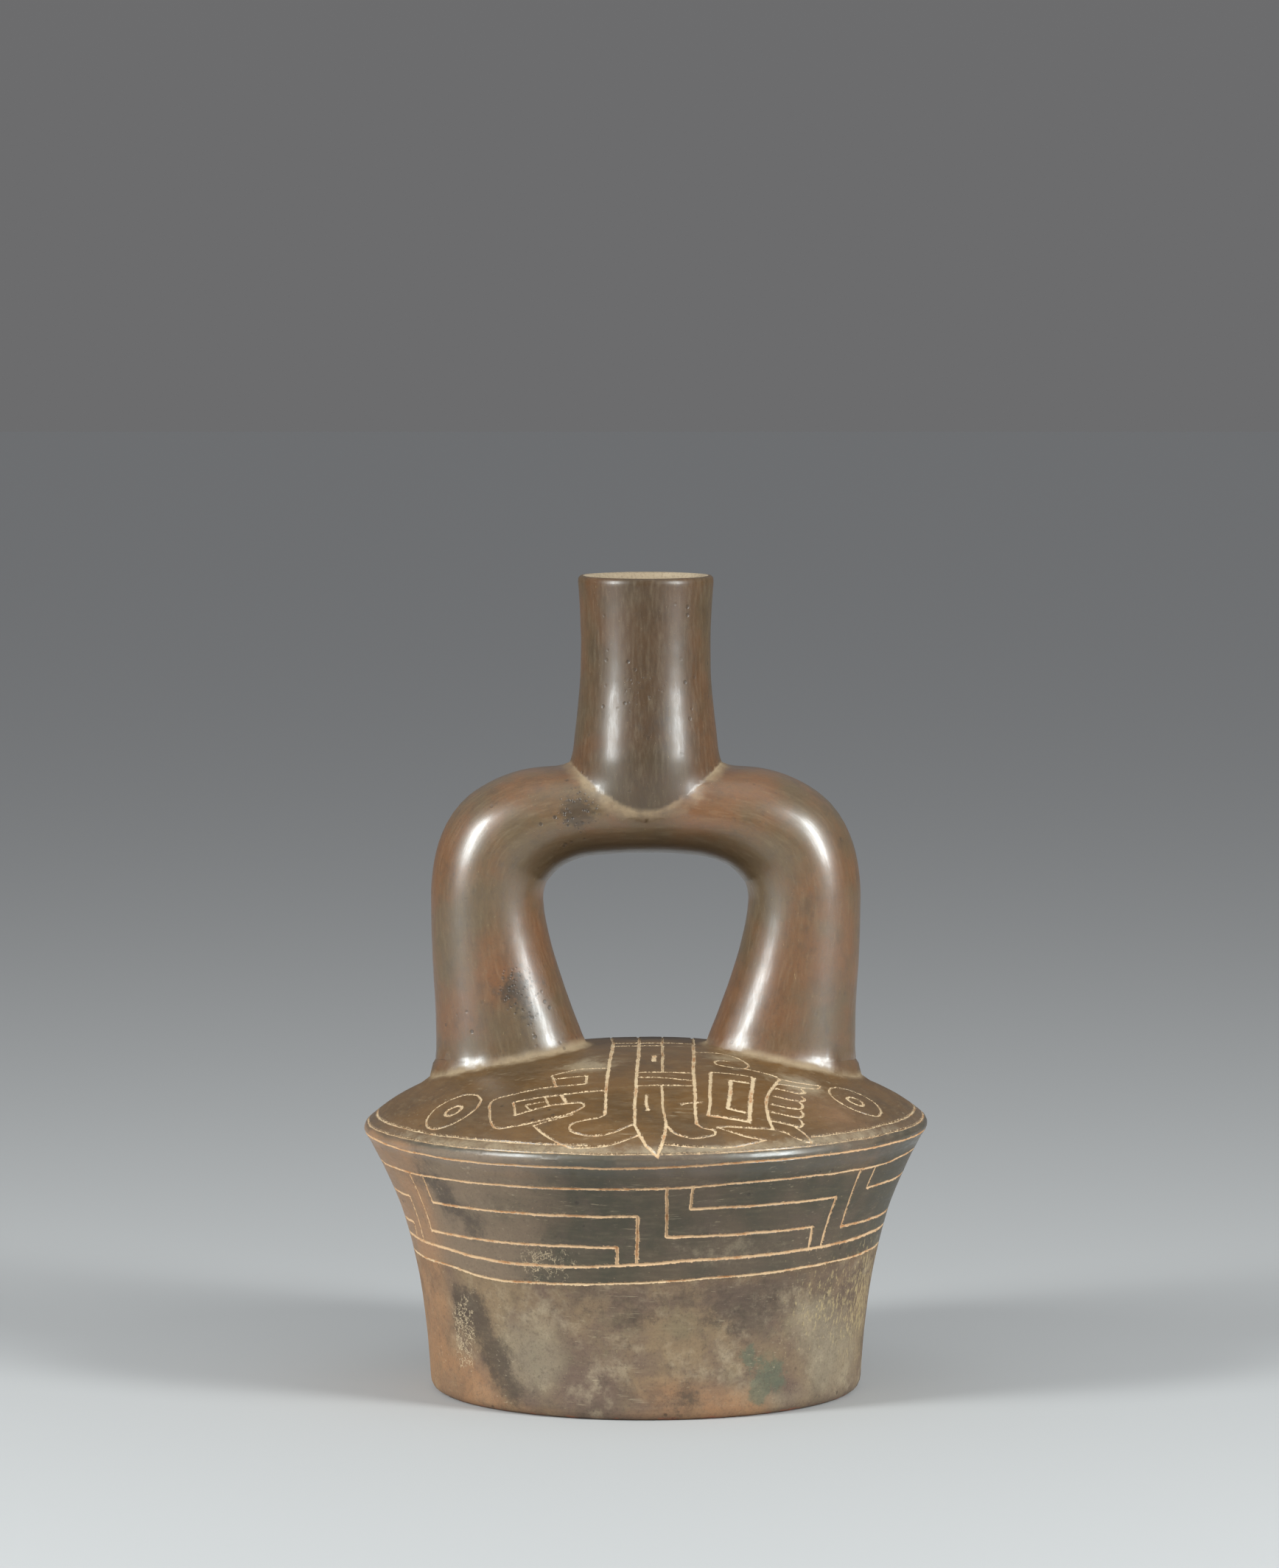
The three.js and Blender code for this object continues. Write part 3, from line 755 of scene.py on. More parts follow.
vessel = mesh_object("fired_vessel", chamber_points, chamber_faces, weld=2e-3)
joined(vessel, mesh_object("stirrup", tube_points, tube_faces), "UNION")
joined(vessel, mesh_object("spout", neck_points, neck_faces), "UNION")
for name, cutter in (
        ("hollow", turned(HOLLOW, HOLLOW_SIDES)),
        ("leg_bore", tube(TUBE_WALL, LEG_BORE_SIDES, LEG_BORE_ROWS, LEG_BORE_WIDEST)),
        ("neck_bore", turned(smooth_line(NECK_BORE, 3), NECK_BORE_SIDES))):
    joined(vessel, mesh_object(name, *cutter), "DIFFERENCE")

# The clay is worked smooth in the two inner bends of the stirrup.
BEND = (28.5, 151.0)
BEND_SIZE = 7.5
BEND_STROKES = 14
SKIN_DEEP = 2.3  # deeper under every outer skin than any cut or dent
work = bmesh.new()
work.from_mesh(vessel.data)
bends = [v for v in work.verts if math.hypot(abs(v.co.x) - BEND[0], v.co.z - BEND[1]) < BEND_SIZE]
depths, _ = gap_to_tube([v.co for v in bends])
bends = [v for v, depth in zip(bends, depths) if depth > -SKIN_DEEP]
for _ in range(BEND_STROKES):
    bmesh.ops.smooth_vert(work, verts=bends, factor=0.5, use_axis_x=True, use_axis_y=True, use_axis_z=True)
work.to_mesh(vessel.data)
work.free()

# ---------------------------------------------------------------- skin of the vessel
# Outside, the clay was rubbed with a pebble until it shone, best on the stirrup, less on
# the cap and the band, and hardly at all below it. Inside it was left as the coils were
# smoothed. Use and burial left pale grit in the cut lines, stains and small pits; there are
# pale patches too. Some of the colour below is painted shade and painted sheen.

mesh = vessel.data
place = np.empty(len(mesh.vertices) * 3)
mesh.vertices.foreach_get("co", place)
place = place.reshape(-1, 3)
radius = np.hypot(place[:, 0], place[:, 1])
height = place[:, 2]
turn = np.degrees(np.arctan2(place[:, 0], -place[:, 1]))  # degrees to the right of the front

WALL_SLOPE = 0.97  # cosine of the wall's mean slope
SPOUT_LOW = 168  # the spout stands above this height
MOUTH = (18.7, 230)  # radius and height of the raw clay at the mouth, where the pebble stopped

tube_gap, tube_station = gap_to_tube(place)
cap_gap = gap_to_cap(place)
neck_gap = np.maximum(gap_to_neck(place), height - HEIGHT)
wall_gap = (radius - np.interp(height, wall_line[:, 1], wall_line[:, 0])) * WALL_SLOPE
chamber_gap = np.maximum(np.maximum(cap_gap, wall_gap), -height)
in_mouth = (radius < MOUTH[0]) & (height > MOUTH[1])
inside = (np.minimum(np.minimum(tube_gap, neck_gap), chamber_gap) < -SKIN_DEEP) | in_mouth
on_spout = ~inside & (height > SPOUT_LOW) & (np.abs(neck_gap) < np.abs(tube_gap))
on_tube = ~inside & ~on_spout & (np.abs(tube_gap) < np.abs(chamber_gap))
on_chamber = ~inside & ~on_spout & ~on_tube
on_wall = on_chamber & (height < SHOULDER_HEIGHT)
front = place[:, 1] < 0


def ramp(value, low, high):
    """0 below low, 1 above high, and smooth between them."""
    share = np.clip((value - low) / (high - low), 0, 1)
    return share * share * (3 - 2 * share)


def on_side(*marks):
    """Soft oval patches of the wall. Each has a strength, its place (degrees to the right of
    the front, and height), its width in degrees and its height in millimetres."""
    return sum(strength * np.exp(-(((turn - at) / wide) ** 2) - ((height - up) / tall) ** 2)
               for strength, at, up, wide, tall in marks)


def on_top(*marks):
    """Soft round patches of the cap, as seen from above: strength, place and size."""
    return sum(strength * np.exp(-((place[:, 0] - x) ** 2 + (place[:, 1] - y) ** 2) / size**2)
               for strength, x, y, size in marks)


def on_face(side, *marks):
    """Soft round patches of the stirrup and the spout, on one side: strength, place and size."""
    return side * sum(strength * np.exp(-((place[:, 0] - x) ** 2 + (height - z) ** 2) / size**2)
                      for strength, x, z, size in marks)


def spread(name, values):
    """Keeps a value for every point of the mesh, for the clay to read."""
    layer = mesh.attributes.new(name, "FLOAT", "POINT")
    layer.data.foreach_set("value", np.asarray(values, np.float32))


# How near each point is to the middle of a cut line, where the grit lies.
GRIT_REACH = 1.35  # in half widths of the line
LINES_LOW = 30  # no line runs below this height
inlay = np.zeros(len(place))
for i in np.flatnonzero(on_chamber & (height > LINES_LOW)):
    x, y, z = place[i]
    if on_wall[i]:
        sheet, flat = wall_sheet, wall_flat(turn[i], z - lean(x, y, z))
    else:
        sheet, flat = cap_sheet, cap_flat(x, -y)
    inlay[i] = max(0.0, 1 - sheet.share(*flat) / GRIT_REACH)
spread("inlay", inlay)


def fading(gap, full, fade):
    """1 at the full distance from a skin, and 0 so much farther off."""
    return 1 - (gap - full) / fade


near_foot = fading(np.maximum(cap_gap, tube_gap), full=1.6, fade=2.6)
near_joint = np.where(
    on_spout, fading(tube_gap, full=1.0, fade=0.8), fading(neck_gap, full=1.0, fade=4.6))
smeared = np.where(height > 160, near_joint, near_foot) * (height > 80) * ~inside
spread("smear", np.clip(smeared, 0, 1))

# The pebble's polish stops at the lowest line. The band is darker than the rest.
lowest_line = np.interp(turn, ring_turns, [ring_height(3, d) for d in ring_turns])
polish = ramp(height - lowest_line, -1.5, 1.5)
spread("polish", polish)
spread("band", on_wall * polish + on_chamber * ramp(radius, 81.4, 82.8) * (height > 70))
spread("stirrup", np.where(on_tube | on_spout, 1.0, 0.0))
edge_gloss = np.exp(-((radius - 81.5) / 3) ** 2) * (height > 74)
spout_gloss = 0.52 - 0.3 * ramp(height, 196, 228)
spread("gloss", np.where(on_spout, spout_gloss, np.where(on_tube, 1.0, 0.22 + 0.7 * edge_gloss)))

# The fire turned the left side and parts of the foot orange, and smudged others.
cap_and_edge = (height > 70) * (height < 106)
cap_alone = (height > 78) * (height < 106)
left_glow = 1 - ramp(turn + 0.12 * (78 - height), -64, -42)
left_glow = left_glow * ramp(turn, -150, -110) * ramp(-height, -81, -77)
spread("warm", 0.95 * left_glow + cap_and_edge * on_top((0.5, 52, -46, 20), (0.35, -40, -66, 18)) + on_side(
    (0.9, 20, 3, 16, 7), (0.6, -48, 4, 14, 6), (0.8, -52, 9, 10, 8), (0.4, -15, 1, 40, 2.5),
    (0.6, 150, 20, 40, 26), (0.4, 5, 9, 14, 6)))
band_glow = 1 - ramp(turn + 0.2 * (60 - height), -44, -10)
band_glow = band_glow * ramp(turn, -160, -110) * on_wall
spread("band_glow", band_glow + on_side((0.5, 120, 56, 26, 14)))
spread("soot", on_side(
    (1.0, -48, 28, 7, 6), (0.8, -43, 19, 5, 5), (0.7, -41, 13, 5, 6), (0.8, -37, 7, 6, 4),
    (0.7, -54, 31, 5, 8), (0.7, -54, 69, 5, 6), (0.7, -49, 61, 5, 6), (0.7, -43, 54, 4, 6),
    (0.45, 4, 33, 26, 8), (0.6, 9, 6, 7, 6), (0.35, 28, 30, 10, 8), (0.6, -128, 24, 24, 14),
    (0.5, 118, 58, 30, 12))
       + on_face(front, (0.45, -38, 120, 9), (0.12, -20, 172, 8), (0.3, 4, 200, 12))
       + on_face(~front, (0.5, 30, 140, 12)))
spread("foot_edge", ramp(-height, -2.6, -0.6) * on_wall)

# Marks of use and burial: a green stain, pale and crusty deposits, specks and pits. Paler
# patches, and a painted sheen along the front of the shoulder edge.
spread("stain", on_side(
    (1.1, 34, 11, 6, 6), (0.9, 27, 18, 3, 4), (0.8, 30, 6, 2.5, 4), (0.6, 42, 20, 4, 3),
    (0.7, -160, 14, 9, 7)))
spread("pale", on_side(
    (1.0, -30, 17, 12, 12), (0.7, 62, 12, 16, 14), (0.6, 36, 4, 10, 4), (0.6, 44, 27, 9, 7),
    (0.5, 56, 20, 12, 14), (0.5, -88, 20, 14, 16), (0.6, -178, 18, 20, 14)))
spread("flakes", on_side(
    (1.0, -53, 29, 7, 10), (1.0, -55, 15, 7, 11), (1.1, -24, 46, 13, 9), (0.5, -34, 6, 8, 6),
    (0.7, 171, 30, 10, 12), (0.5, 100, 14, 10, 9)))
spread("speckle", on_side((1.0, 74, 30, 18, 22), (0.6, 48, 30, 12, 14), (0.5, -140, 56, 14, 12)))
# Painted sheen: a paler band along the front of the shoulder edge, where its highlight falls. Paler patches
# on the cap and the wall.
sheen_on_edge = np.exp(-((radius - 80.9) / 1.5) ** 2) * (height > 78) * ramp(-place[:, 1], 10, 60)
pale_cap_patches = cap_alone * on_top(
    (1.0, -17, -31, 9), (0.8, 24, -20, 8), (1.0, 44, -33, 9), (0.6, -40, 40, 16), (0.5, 50, 30, 14))
spread("pale_patches_and_sheen", 0.9 * sheen_on_edge + pale_cap_patches + on_side((0.35, -40, 62, 10, 6), (0.5, 20, 50, 14, 5)))
spread("pits", 0.1 + on_face(~front, (1.0, 44, 150, 7), (0.8, -42, 132, 8)) + on_face(
    front, (1.1, -20, 172, 7), (1.0, -38, 120, 7), (0.7, -34, 111, 5), (0.45, -1, 207, 13)))

# Coordinates that run long along the strokes of the pebble: up the legs and over the
# arch, up the spout, and round the chamber.
offset = place[:, [0, 2]] - arch[tube_station, :2]
across = offset[:, 1] * arch_way[tube_station, 0] - offset[:, 0] * arch_way[tube_station, 1]
along = run_along(arch[:, :2])[tube_station] + (offset * arch_way[tube_station]).sum(1)
STROKE = 0.16  # how much a stroke's grain is drawn out
MILLIMETRES = 1000  # in a metre
strokes = place * (STROKE, STROKE, 1)
strokes[on_tube] = np.column_stack([across, place[:, 1], along * STROKE])[on_tube]
strokes[on_spout] = (place * (1, 1, STROKE))[on_spout]
layer = mesh.attributes.new("strokes", "FLOAT_VECTOR", "POINT")
layer.data.foreach_set("vector", (strokes / MILLIMETRES).astype(np.float32).ravel())

# Hand-made unevenness: broad and shallow all over, with chips along the foot.
normals = np.empty(len(place) * 3)
mesh.vertex_normals.foreach_get("vector", normals)
normals = normals.reshape(-1, 3)
UNEVEN = 0.16
RIPPLE = 0.05
CHIP = 0.5
CHIP_HIGH = 3.5
UNDERSIDE = 0.3  # the clay stays flat below this height
push = np.zeros(len(place))
for i in np.flatnonzero(~inside & (height > UNDERSIDE)):
    p = Vector(place[i])
    push[i] = UNEVEN * noise.noise(p * 0.045) + RIPPLE * noise.noise(p * 0.22)
    if height[i] < CHIP_HIGH:
        push[i] = -CHIP * max(0.0, noise.noise(p * 0.35) - 0.12) * (1 - abs(height[i] - 1) / 3)
place += normals * push[:, None]
mesh.vertices.foreach_set("co", (place * MM).ravel())
mesh.update()

# Painted shade: the colour is darkened where the arch faces down and down the front of the
# spout, over a darker tone for the whole spout.
facing_down = ramp(-normals[:, 2], 0.1, 0.8) * on_tube * (height > 120)
spout_front = np.exp(-((place[:, 0] / 15) ** 2)) * (place[:, 1] < 0)
spread("shade", facing_down + on_spout * (0.3 + 0.7 * spout_front))

SHARP = math.radians(38)  # an edge this sharp stays one
faces_in = np.array([all(inside[i] for i in face.vertices) for face in mesh.polygons])
mesh.polygons.foreach_set("use_smooth", np.ones(len(mesh.polygons), bool))
mesh.set_sharp_from_angle(angle=SHARP)


class Recipe:
    """Builds a material or a group node by node."""

    def __init__(self, tree):
        self.tree = tree

    def node(self, kind, inputs=(), **settings):
        """Adds a node. An input is a value to set, or the output to link to it."""
        made = self.tree.nodes.new(kind)
        for key, value in settings.items():
            setattr(made, key, value)
        for key, value in dict(inputs).items():
            if isinstance(value, bpy.types.NodeSocket):
                self.tree.links.new(value, made.inputs[key])
            else:
                made.inputs[key].default_value = value
        return made

    def sums(self, way, a, b=0.0, clamp=False):
        return self.node("ShaderNodeMath", {0: a, 1: b}, operation=way, use_clamp=clamp).outputs[0]

    def plus(self, a, b):
        return self.sums("ADD", a, b)

    def times(self, a, b):
        return self.sums("MULTIPLY", a, b)

    def between(self, value, low, high, to_low=0.0, to_high=1.0):
        return self.node("ShaderNodeMapRange", {0: value, 1: low, 2: high, 3: to_low, 4: to_high},
                         interpolation_type="SMOOTHSTEP").outputs[0]

    def blend(self, share, a, b):
        return self.node("ShaderNodeMix", {0: share, 6: a, 7: b}, data_type="RGBA").outputs[2]

    def kept(self, name):
        return self.node("ShaderNodeAttribute", attribute_name=name).outputs["Fac"]

    def grain(self, vector, scale, detail=4.0, rough=0.55):
        return self.node("ShaderNodeTexNoise", {
            "Vector": vector, "Scale": scale, "Detail": detail, "Roughness": rough}).outputs["Fac"]

    def ragged(self, name, grain, weight, low, high):
        """A kept patch whose edge is broken up by a grain, between 0 and 1."""
        return self.between(self.plus(self.kept(name), self.times(grain, weight)), low, high)


def paint(*screen):
    """A colour given by its screen values of red, green and blue."""
    return tuple(((c / 255 + 0.055) / 1.055) ** 2.4 for c in screen) + (1,)


# Shared by both clays: mottling from the firing, grit in the paste and open pores.
clay_body = bpy.data.node_groups.new("clay_body", "ShaderNodeTree")
for name, kind in (("Vector", "NodeSocketVector"), ("Mottle scale", "NodeSocketFloat")):
    clay_body.interface.new_socket(name, in_out="INPUT", socket_type=kind)
for name in ("Mottle", "Grit", "Pores"):
    clay_body.interface.new_socket(name, in_out="OUTPUT", socket_type="NodeSocketFloat")
shared = Recipe(clay_body)
given = shared.node("NodeGroupInput").outputs
cells = shared.node("ShaderNodeTexVoronoi", {"Vector": given["Vector"], "Scale": 340.0}).outputs
pore = shared.between(cells["Distance"], 0.12, 0.26, 1.0, 0.0)
shared.node("NodeGroupOutput", {
    "Mottle": shared.grain(given["Vector"], given["Mottle scale"], 6.0, 0.6),
    "Grit": shared.grain(given["Vector"], 1500.0, 3.0),
    "Pores": shared.times(pore, shared.between(cells["Color"], 0.5, 0.75))})

BROWN = paint(105, 68, 35)
GREY_BROWN = paint(88, 69, 43)
RUSSET = paint(124, 74, 42)
# Dark brown for mottling and blotches round the pits, and for the painted shade under the arch and on the
# spout.
DARK_MOTTLE_AND_SHADE = paint(54, 41, 25)
CAP_BROWN = paint(100, 70, 32)
CAP_SHADE = paint(81, 58, 29)
BAND_OLIVE = paint(58, 53, 38)
BAND_BROWN = paint(80, 66, 50)
BAND_PALE = paint(120, 100, 80)
BRICK = paint(150, 88, 60)
FOOT_TAN = paint(126, 104, 78)
FOOT_MAUVE = paint(100, 80, 67)
FOOT_OLIVE = paint(106, 94, 71)
FOOT_SHADE = paint(84, 68, 56)
FOOT_PALE = paint(146, 134, 112)
ORANGE_TAN = paint(150, 110, 76)
SOOT = paint(60, 48, 38)
STAIN_GREEN = paint(80, 92, 74)
CREAM = paint(206, 184, 150)
BAND_CREAM = paint(200, 164, 126)
FRECKLE = paint(176, 156, 112)
RUST_TAN = paint(170, 116, 70)
SMEAR_CREAM = paint(156, 136, 108)
# Pale dust; the same colour is the painted sheen along the front of the shoulder edge.
PALE_DUST_AND_SHEEN = paint(176, 160, 132)
PIT = paint(46, 34, 24)

burnished = bpy.data.materials.new("burnished_clay")
burnished.use_nodes = True
clay = Recipe(burnished.node_tree)
skin = burnished.node_tree.nodes["Principled BSDF"]
here = clay.node("ShaderNodeTexCoord").outputs["Object"]
rubbed = clay.node("ShaderNodeAttribute", attribute_name="strokes").outputs["Vector"]
upright = clay.node("ShaderNodeMapping", {"Vector": here, "Scale": (1, 1, 0.4)}).outputs[0]
level = clay.node("ShaderNodeMapping", {"Vector": here, "Scale": (0.06, 0.6, 1)}).outputs[0]
body = clay.node("ShaderNodeGroup", {"Vector": here, "Mottle scale": 38.0}, node_tree=clay_body).outputs
mottled = clay.between(body["Mottle"], 0.38, 0.64)
streaks = clay.grain(rubbed, 900.0, 4.0, 0.7)
broad_streaks = clay.grain(rubbed, 150.0, 3.0)


def clouds(scale, shift, low, high):
    """Soft clouds, each kind with its own place in the noise."""
    away = (shift, 2 * shift, -shift)
    moved = clay.node("ShaderNodeMapping", {"Vector": here, "Location": away}).outputs[0]
    return clay.between(clay.grain(moved, scale, 7.0, 0.66), low, high)


def over(tone, share, strength, colour):
    """Lays a colour over the tone."""
    return clay.blend(clay.times(share, strength), tone, colour)


def marked(tone, name, strength, colour, grains, weight, low, high):
    """Lays a colour over the tone in a kept patch, its edge broken up by fine grains."""
    return over(tone, clay.ragged(name, clay.grain(here, *grains), weight, low, high), strength, colour)


# The tones of the stirrup, the cap, the foot and the band.
stirrup_tone = over(clay.blend(mottled, BROWN, GREY_BROWN), clouds(30.0, 0.7, 0.5, 0.7), 0.2, RUSSET)
stirrup_tone = over(stirrup_tone, clouds(120.0, 9.1, 0.5, 0.68), 0.32, DARK_MOTTLE_AND_SHADE)
# Painted shade under the arch and down the spout's front, over the spout's darker tone.
stirrup_tone = over(stirrup_tone, clay.kept("shade"), 0.78, DARK_MOTTLE_AND_SHADE)
cap_tone = clay.blend(mottled, CAP_BROWN, CAP_SHADE)
foot_tone = clay.blend(mottled, FOOT_MAUVE, FOOT_TAN)
foot_tone = over(foot_tone, clouds(64.0, 1.3, 0.48, 0.66), 0.6, FOOT_OLIVE)
foot_tone = over(foot_tone, clouds(34.0, 2.9, 0.48, 0.62), 0.75, FOOT_SHADE)
foot_tone = over(foot_tone, clouds(80.0, 3.7, 0.52, 0.62), 0.5, FOOT_MAUVE)
foot_tone = over(foot_tone, clouds(90.0, 4.1, 0.5, 0.72), 0.5, PALE_DUST_AND_SHEEN)
foot_tone = over(foot_tone, clay.ragged("pale", body["Mottle"], 1.2, 0.8, 1.5), 0.5, FOOT_PALE)
band_tone = over(clay.blend(mottled, BAND_OLIVE, BAND_BROWN), clouds(55.0, 5.3, 0.5, 0.68), 0.6, FOOT_SHADE)
band_tone = over(band_tone, clay.ragged("band_glow", body["Mottle"], 1.4, 0.75, 1.7), 0.85, BAND_PALE)
tone = clay.blend(clay.kept("stirrup"), cap_tone, stirrup_tone)
tone = clay.blend(clay.kept("polish"), foot_tone, tone)
tone = clay.blend(clay.ragged("band", clouds(24.0, 6.1, 0.2, 0.8), 0.5, 0.5, 1.2), tone, band_tone)

# Orange where the fire reached, smudges, a green stain, paler patches with a painted sheen on
# the front of the shoulder edge, and bare edges at the foot.
warm = clay.ragged("warm", body["Mottle"], 0.8, 0.6, 1.3)
warm = clay.times(warm, clay.between(clouds(75.0, 10.3, 0.36, 0.62), 0.0, 1.0, 0.5, 0.85))
tone = over(tone, warm, 1.0, ORANGE_TAN)
tone = marked(tone, "soot", 0.8, SOOT, (130.0, 8.0, 0.78), 2.9, 1.6, 2.35)
tone = marked(tone, "stain", 0.62, STAIN_GREEN, (230.0, 8.0, 0.78), 2.4, 1.7, 2.0)
# Paler patches, and painted sheen along the front of the shoulder edge.
tone = marked(tone, "pale_patches_and_sheen", 0.5, PALE_DUST_AND_SHEEN, (200.0, 8.0, 0.78), 2.2, 1.3, 2.2)
tone = over(tone, clay.between(streaks, 0.4, 0.75), 0.09, PALE_DUST_AND_SHEEN)
tone = marked(tone, "foot_edge", 0.75, BRICK, (200.0, 6.0, 0.75), 1.0, 1.46, 1.58)

# Grit, blotches round the pits, specks on the foot, and level scratches on the chamber.
tone = over(tone, clay.between(body["Grit"], 0.5, 0.75), 0.35, SOOT)
tone = marked(tone, "pits", 0.75, DARK_MOTTLE_AND_SHADE, (520.0, 6.0, 0.8), 1.667, 1.5, 1.9)
specks = clay.between(clay.grain(here, 620.0, 5.0, 0.75), 0.5, 0.72)
specks = clay.times(specks, clay.between(clay.kept("polish"), 0.0, 1.0, 1.0, 0.4))
tone = over(tone, specks, 0.5, FOOT_SHADE)
scratch = clay.between(clay.grain(level, 1500.0, 3.0, 0.6), 0.6, 0.72)
scratch = clay.times(scratch, clay.sums("SUBTRACT", 1.0, clay.kept("stirrup")))
tone = over(tone, clay.times(scratch, clouds(70.0, 8.3, 0.42, 0.6)), 0.4, PALE_DUST_AND_SHEEN)

# Crusty deposits in thin curls, pale freckles, and the smears of clay at the joints.
freckles = clay.ragged("speckle", clay.grain(upright, 1000.0, 3.0, 0.7), 4.0, 2.72, 3.28)
tone = over(tone, freckles, 0.6, FRECKLE)
curl = clay.sums("ABSOLUTE", clay.sums("SUBTRACT", clay.grain(here, 360.0, 4.0, 0.72), 0.5))
crust = clay.ragged("flakes", clay.grain(upright, 420.0, 6.0, 0.8), 2.0, 1.8, 2.04)
deposit = clay.times(clay.between(curl, 0.004, 0.022, 1.0, 0.0), crust)
tone = over(tone, deposit, 0.85, CREAM)
smear = clay.ragged("smear", clay.grain(here, 240.0, 5.0, 0.65), 0.7, 0.62, 1.45)
smear = clay.times(smear, clouds(60.0, 7.7, 0.3, 0.6))
tone = over(tone, smear, 0.85, SMEAR_CREAM)

# The cut lines are rusty where the grit has fallen out, and cream where it fills them.
crumbs = clay.sums("SUBTRACT", clay.grain(here, 1900.0, 4.0, 0.75), 0.5)
scraped = clay.ragged("inlay", crumbs, 1.8, 0.34, 0.44)
bare_bed = clay.times(clay.between(clay.grain(here, 110.0, 5.0, 0.75), 0.46, 0.66),
                      clay.ragged("inlay", crumbs, 1.0, 0.4, 0.7))
filled = clay.sums("SUBTRACT", scraped, bare_bed, True)
tone = over(tone, scraped, 0.9, RUST_TAN)
tone = over(tone, filled, 0.9, clay.blend(clay.times(clay.kept("band"), 0.7), CREAM, BAND_CREAM))

# Open pores and pocks.
pitted = clay.times(body["Pores"], clay.ragged("pits", clay.grain(here, 60.0), 1.0, 0.58, 0.8))
pock = clay.node("ShaderNodeTexVoronoi", {"Vector": here, "Scale": 760.0}).outputs["Distance"]
pocked = clay.ragged("pits", clay.grain(here, 300.0, 5.0, 0.75), 1.0, 0.95, 1.3)
pitted = clay.sums("MAXIMUM", pitted, clay.times(clay.between(pock, 0.16, 0.36, 1.0, 0.0), pocked))
tone = over(tone, pitted, 0.72, PIT)
clay.tree.links.new(tone, skin.inputs["Base Color"])

# The pebble's shine, lost wherever something lies on the clay or has scraped it.
dull = clay.sums("MAXIMUM", clay.sums("MAXIMUM", scraped, deposit), clay.times(smear, 0.7))
matt = clay.between(clay.kept("polish"), 0.0, 1.0, 0.72, 0.52)
matt = clay.plus(matt, clay.times(clay.kept("stirrup"), -0.1))
matt = clay.plus(matt, clay.between(streaks, 0.3, 0.7, -0.05, 0.06))
matt = clay.plus(matt, clay.times(dull, 0.4))
clay.tree.links.new(clay.sums("MINIMUM", matt, 0.95), skin.inputs["Roughness"])
gloss = clay.times(clay.kept("polish"), clay.kept("gloss"))
gloss = clay.times(gloss, clay.between(dull, 0.0, 0.6, 1.0, 0.0))
gloss = clay.times(gloss, clay.between(streaks, 0.3, 0.6, 1.0, 0.6))
clay.tree.links.new(gloss, skin.inputs["Coat Weight"])
skin.inputs["Specular IOR Level"].default_value = 0.5
skin.inputs["Coat Roughness"].default_value = 0.28
skin.inputs["Coat IOR"].default_value = 1.7

# Strokes of the pebble, coarse grit where the clay is dull, crust and pits.
relief = clay.plus(clay.times(streaks, 0.25), clay.times(broad_streaks, 0.5))
relief = clay.plus(relief, clay.times(body["Grit"], clay.between(dull, 0.0, 1.0, 0.15, 1.6)))
relief = clay.plus(relief, deposit)
relief = clay.plus(relief, clay.times(pitted, -4.0))
bump = clay.node("ShaderNodeBump", {"Strength": 0.5, "Distance": 0.00008, "Height": relief})
clay.tree.links.new(bump.outputs[0], skin.inputs["Normal"])

RAW_TAN = paint(150, 133, 110)
RAW_PALE = paint(168, 151, 127)
RAW_GRIT = paint(96, 80, 64)
raw = bpy.data.materials.new("raw_clay")
raw.use_nodes = True
rough = Recipe(raw.node_tree)
lining = raw.node_tree.nodes["Principled BSDF"]
inner = rough.node("ShaderNodeTexCoord").outputs["Object"]
paste = rough.node("ShaderNodeGroup", {"Vector": inner, "Mottle scale": 60.0}, node_tree=clay_body).outputs
tone = rough.blend(rough.between(paste["Mottle"], 0.35, 0.65), RAW_TAN, RAW_PALE)
tone = rough.blend(rough.between(paste["Grit"], 0.5, 0.7, 0.0, 0.4), tone, RAW_GRIT)
rough.tree.links.new(tone, lining.inputs["Base Color"])
bump = rough.node("ShaderNodeBump", {"Strength": 0.6, "Distance": 0.0003, "Height": paste["Grit"]})
rough.tree.links.new(bump.outputs[0], lining.inputs["Normal"])
lining.inputs["Roughness"].default_value = 0.85

mesh.materials.clear()
mesh.materials.append(burnished)
mesh.materials.append(raw)
mesh.polygons.foreach_set("material_index", faces_in.astype(int))
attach(vessel, "root")
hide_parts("vessel")

# ---------------------------------------------------------------- stage
# A plain pale floor, two large soft lights, on the left and on the right, and a weak one
# overhead.

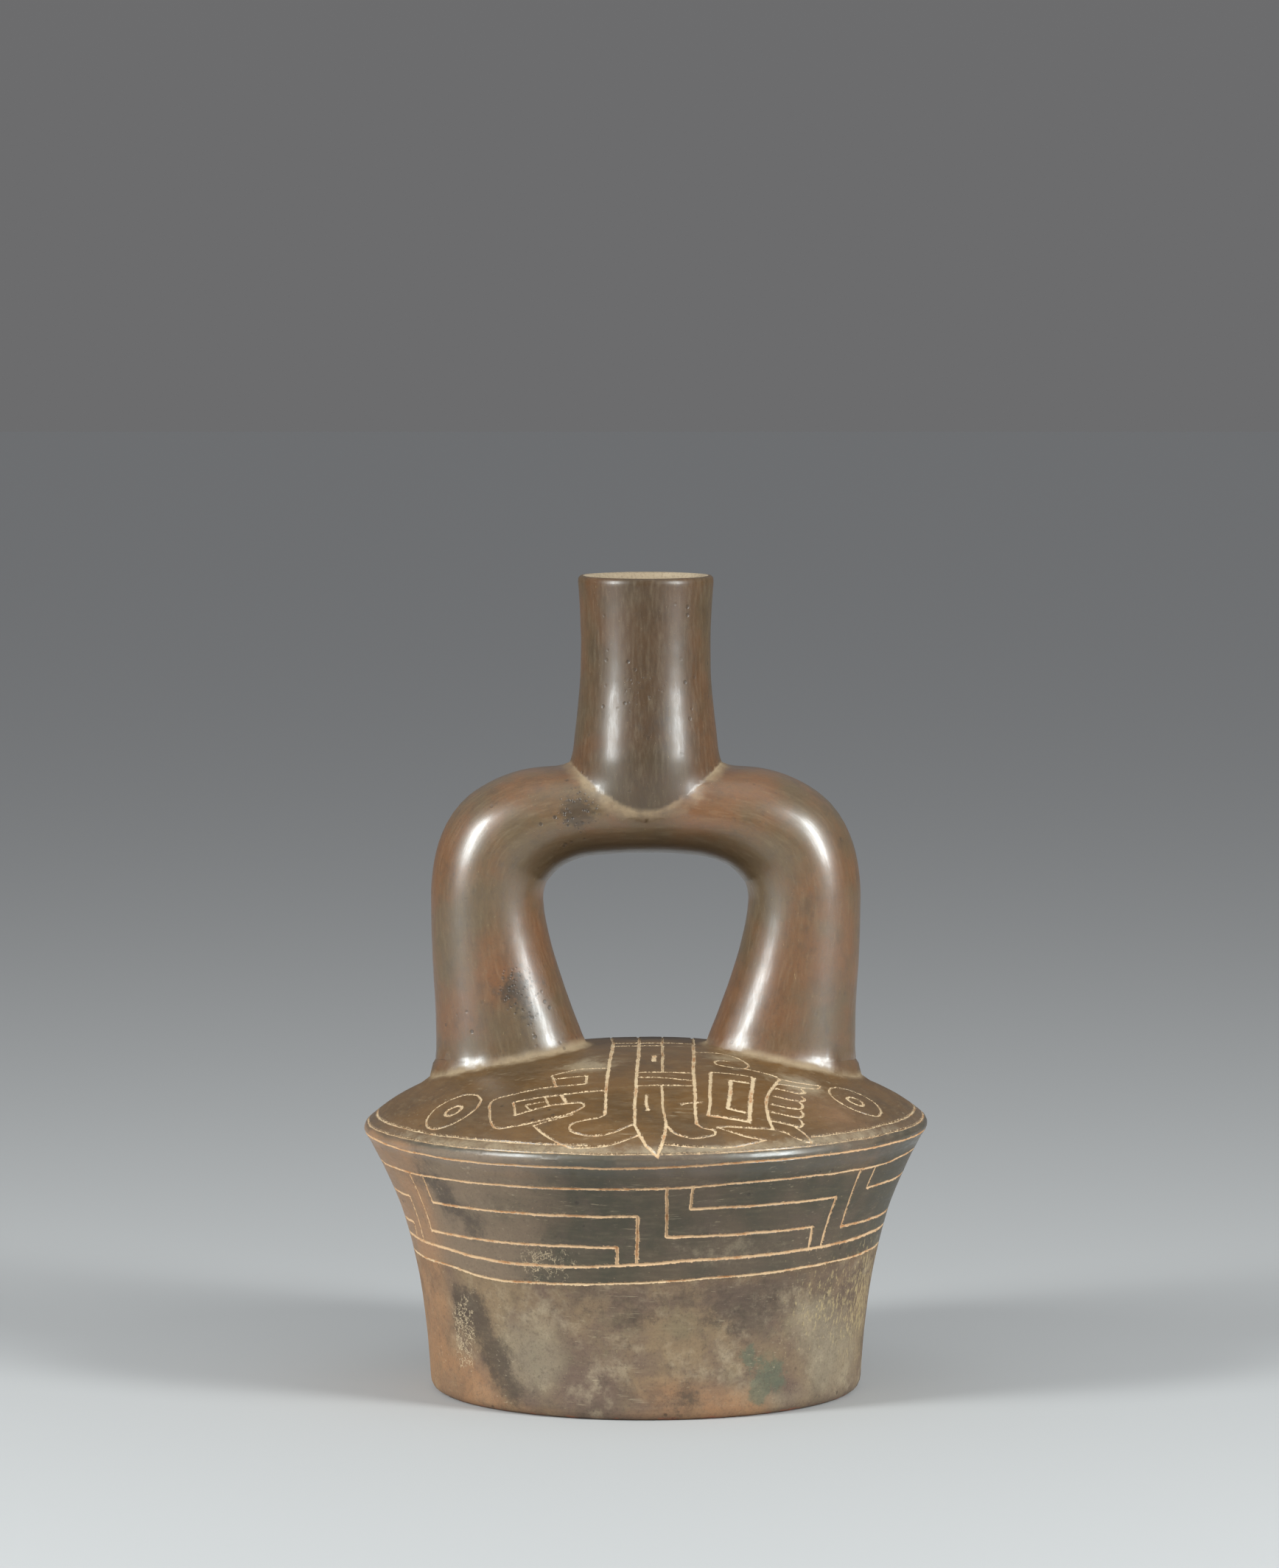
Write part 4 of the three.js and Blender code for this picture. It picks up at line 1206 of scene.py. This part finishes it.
FLOOR_HALF = 8.0
PAPER = paint(182, 182, 183)
floor_mesh = bpy.data.meshes.new("floor")
corners = [(-1, -1), (1, -1), (1, 1), (-1, 1)]
floor_mesh.from_pydata([(x * FLOOR_HALF, y * FLOOR_HALF, 0) for x, y in corners], [], [(0, 1, 2, 3)])
floor = bpy.data.objects.new("floor", floor_mesh)
floor.location.z = cad_low.z - 0.1 * MM
bpy.context.scene.collection.objects.link(floor)
paper = bpy.data.materials.new("paper")
paper.use_nodes = True
sheet_of_paper = paper.node_tree.nodes["Principled BSDF"].inputs
sheet_of_paper["Base Color"].default_value = PAPER
sheet_of_paper["Roughness"].default_value = 0.75
floor_mesh.materials.append(paper)

MIDDLE = Vector((0, 0, 110 * MM))  # the lights are aimed here
LIGHT_TINT = (0.95, 1.0, 0.99)
LIGHTS = [  # name, degrees to the right, degrees up, distance, width, height (metres), power
    ("left_light", -57, 22, 1.3, 0.30, 0.72, 19),
    ("right_light", 54, 22, 1.3, 0.30, 0.72, 19),
    ("top_light", 10, 78, 1.6, 1.2, 1.2, 3),
]
for name, side, up, distance, width, tall, power in LIGHTS:
    light = bpy.data.lights.new(name, "AREA")
    light.shape = "RECTANGLE"
    light.size = width
    light.size_y = tall
    light.energy = power
    light.color = LIGHT_TINT
    lamp = bpy.data.objects.new(name, light)
    side, up = math.radians(side), math.radians(up)
    lamp.location = MIDDLE + distance * Vector(
        (math.sin(side) * math.cos(up), -math.cos(side) * math.cos(up), math.sin(up)))
    lamp.rotation_euler = (MIDDLE - lamp.location).to_track_quat("-Z", "Y").to_euler()
    bpy.context.scene.collection.objects.link(lamp)
WALL_GREY = (0.15, 0.15, 0.153, 1)
CEILING_GREY = (0.32, 0.33, 0.34, 1)
world = bpy.data.worlds.new("studio")
world.use_nodes = True
air = Recipe(world.node_tree)
around = air.node("ShaderNodeTexCoord").outputs["Generated"]
way_up = air.node("ShaderNodeSeparateXYZ", {0: around}).outputs[2]
glow = air.blend(air.between(way_up, 0.0, 0.7), WALL_GREY, CEILING_GREY)
world.node_tree.links.new(glow, world.node_tree.nodes["Background"].inputs["Color"])
bpy.context.scene.world = world
bpy.context.scene.view_settings.view_transform = "Standard"
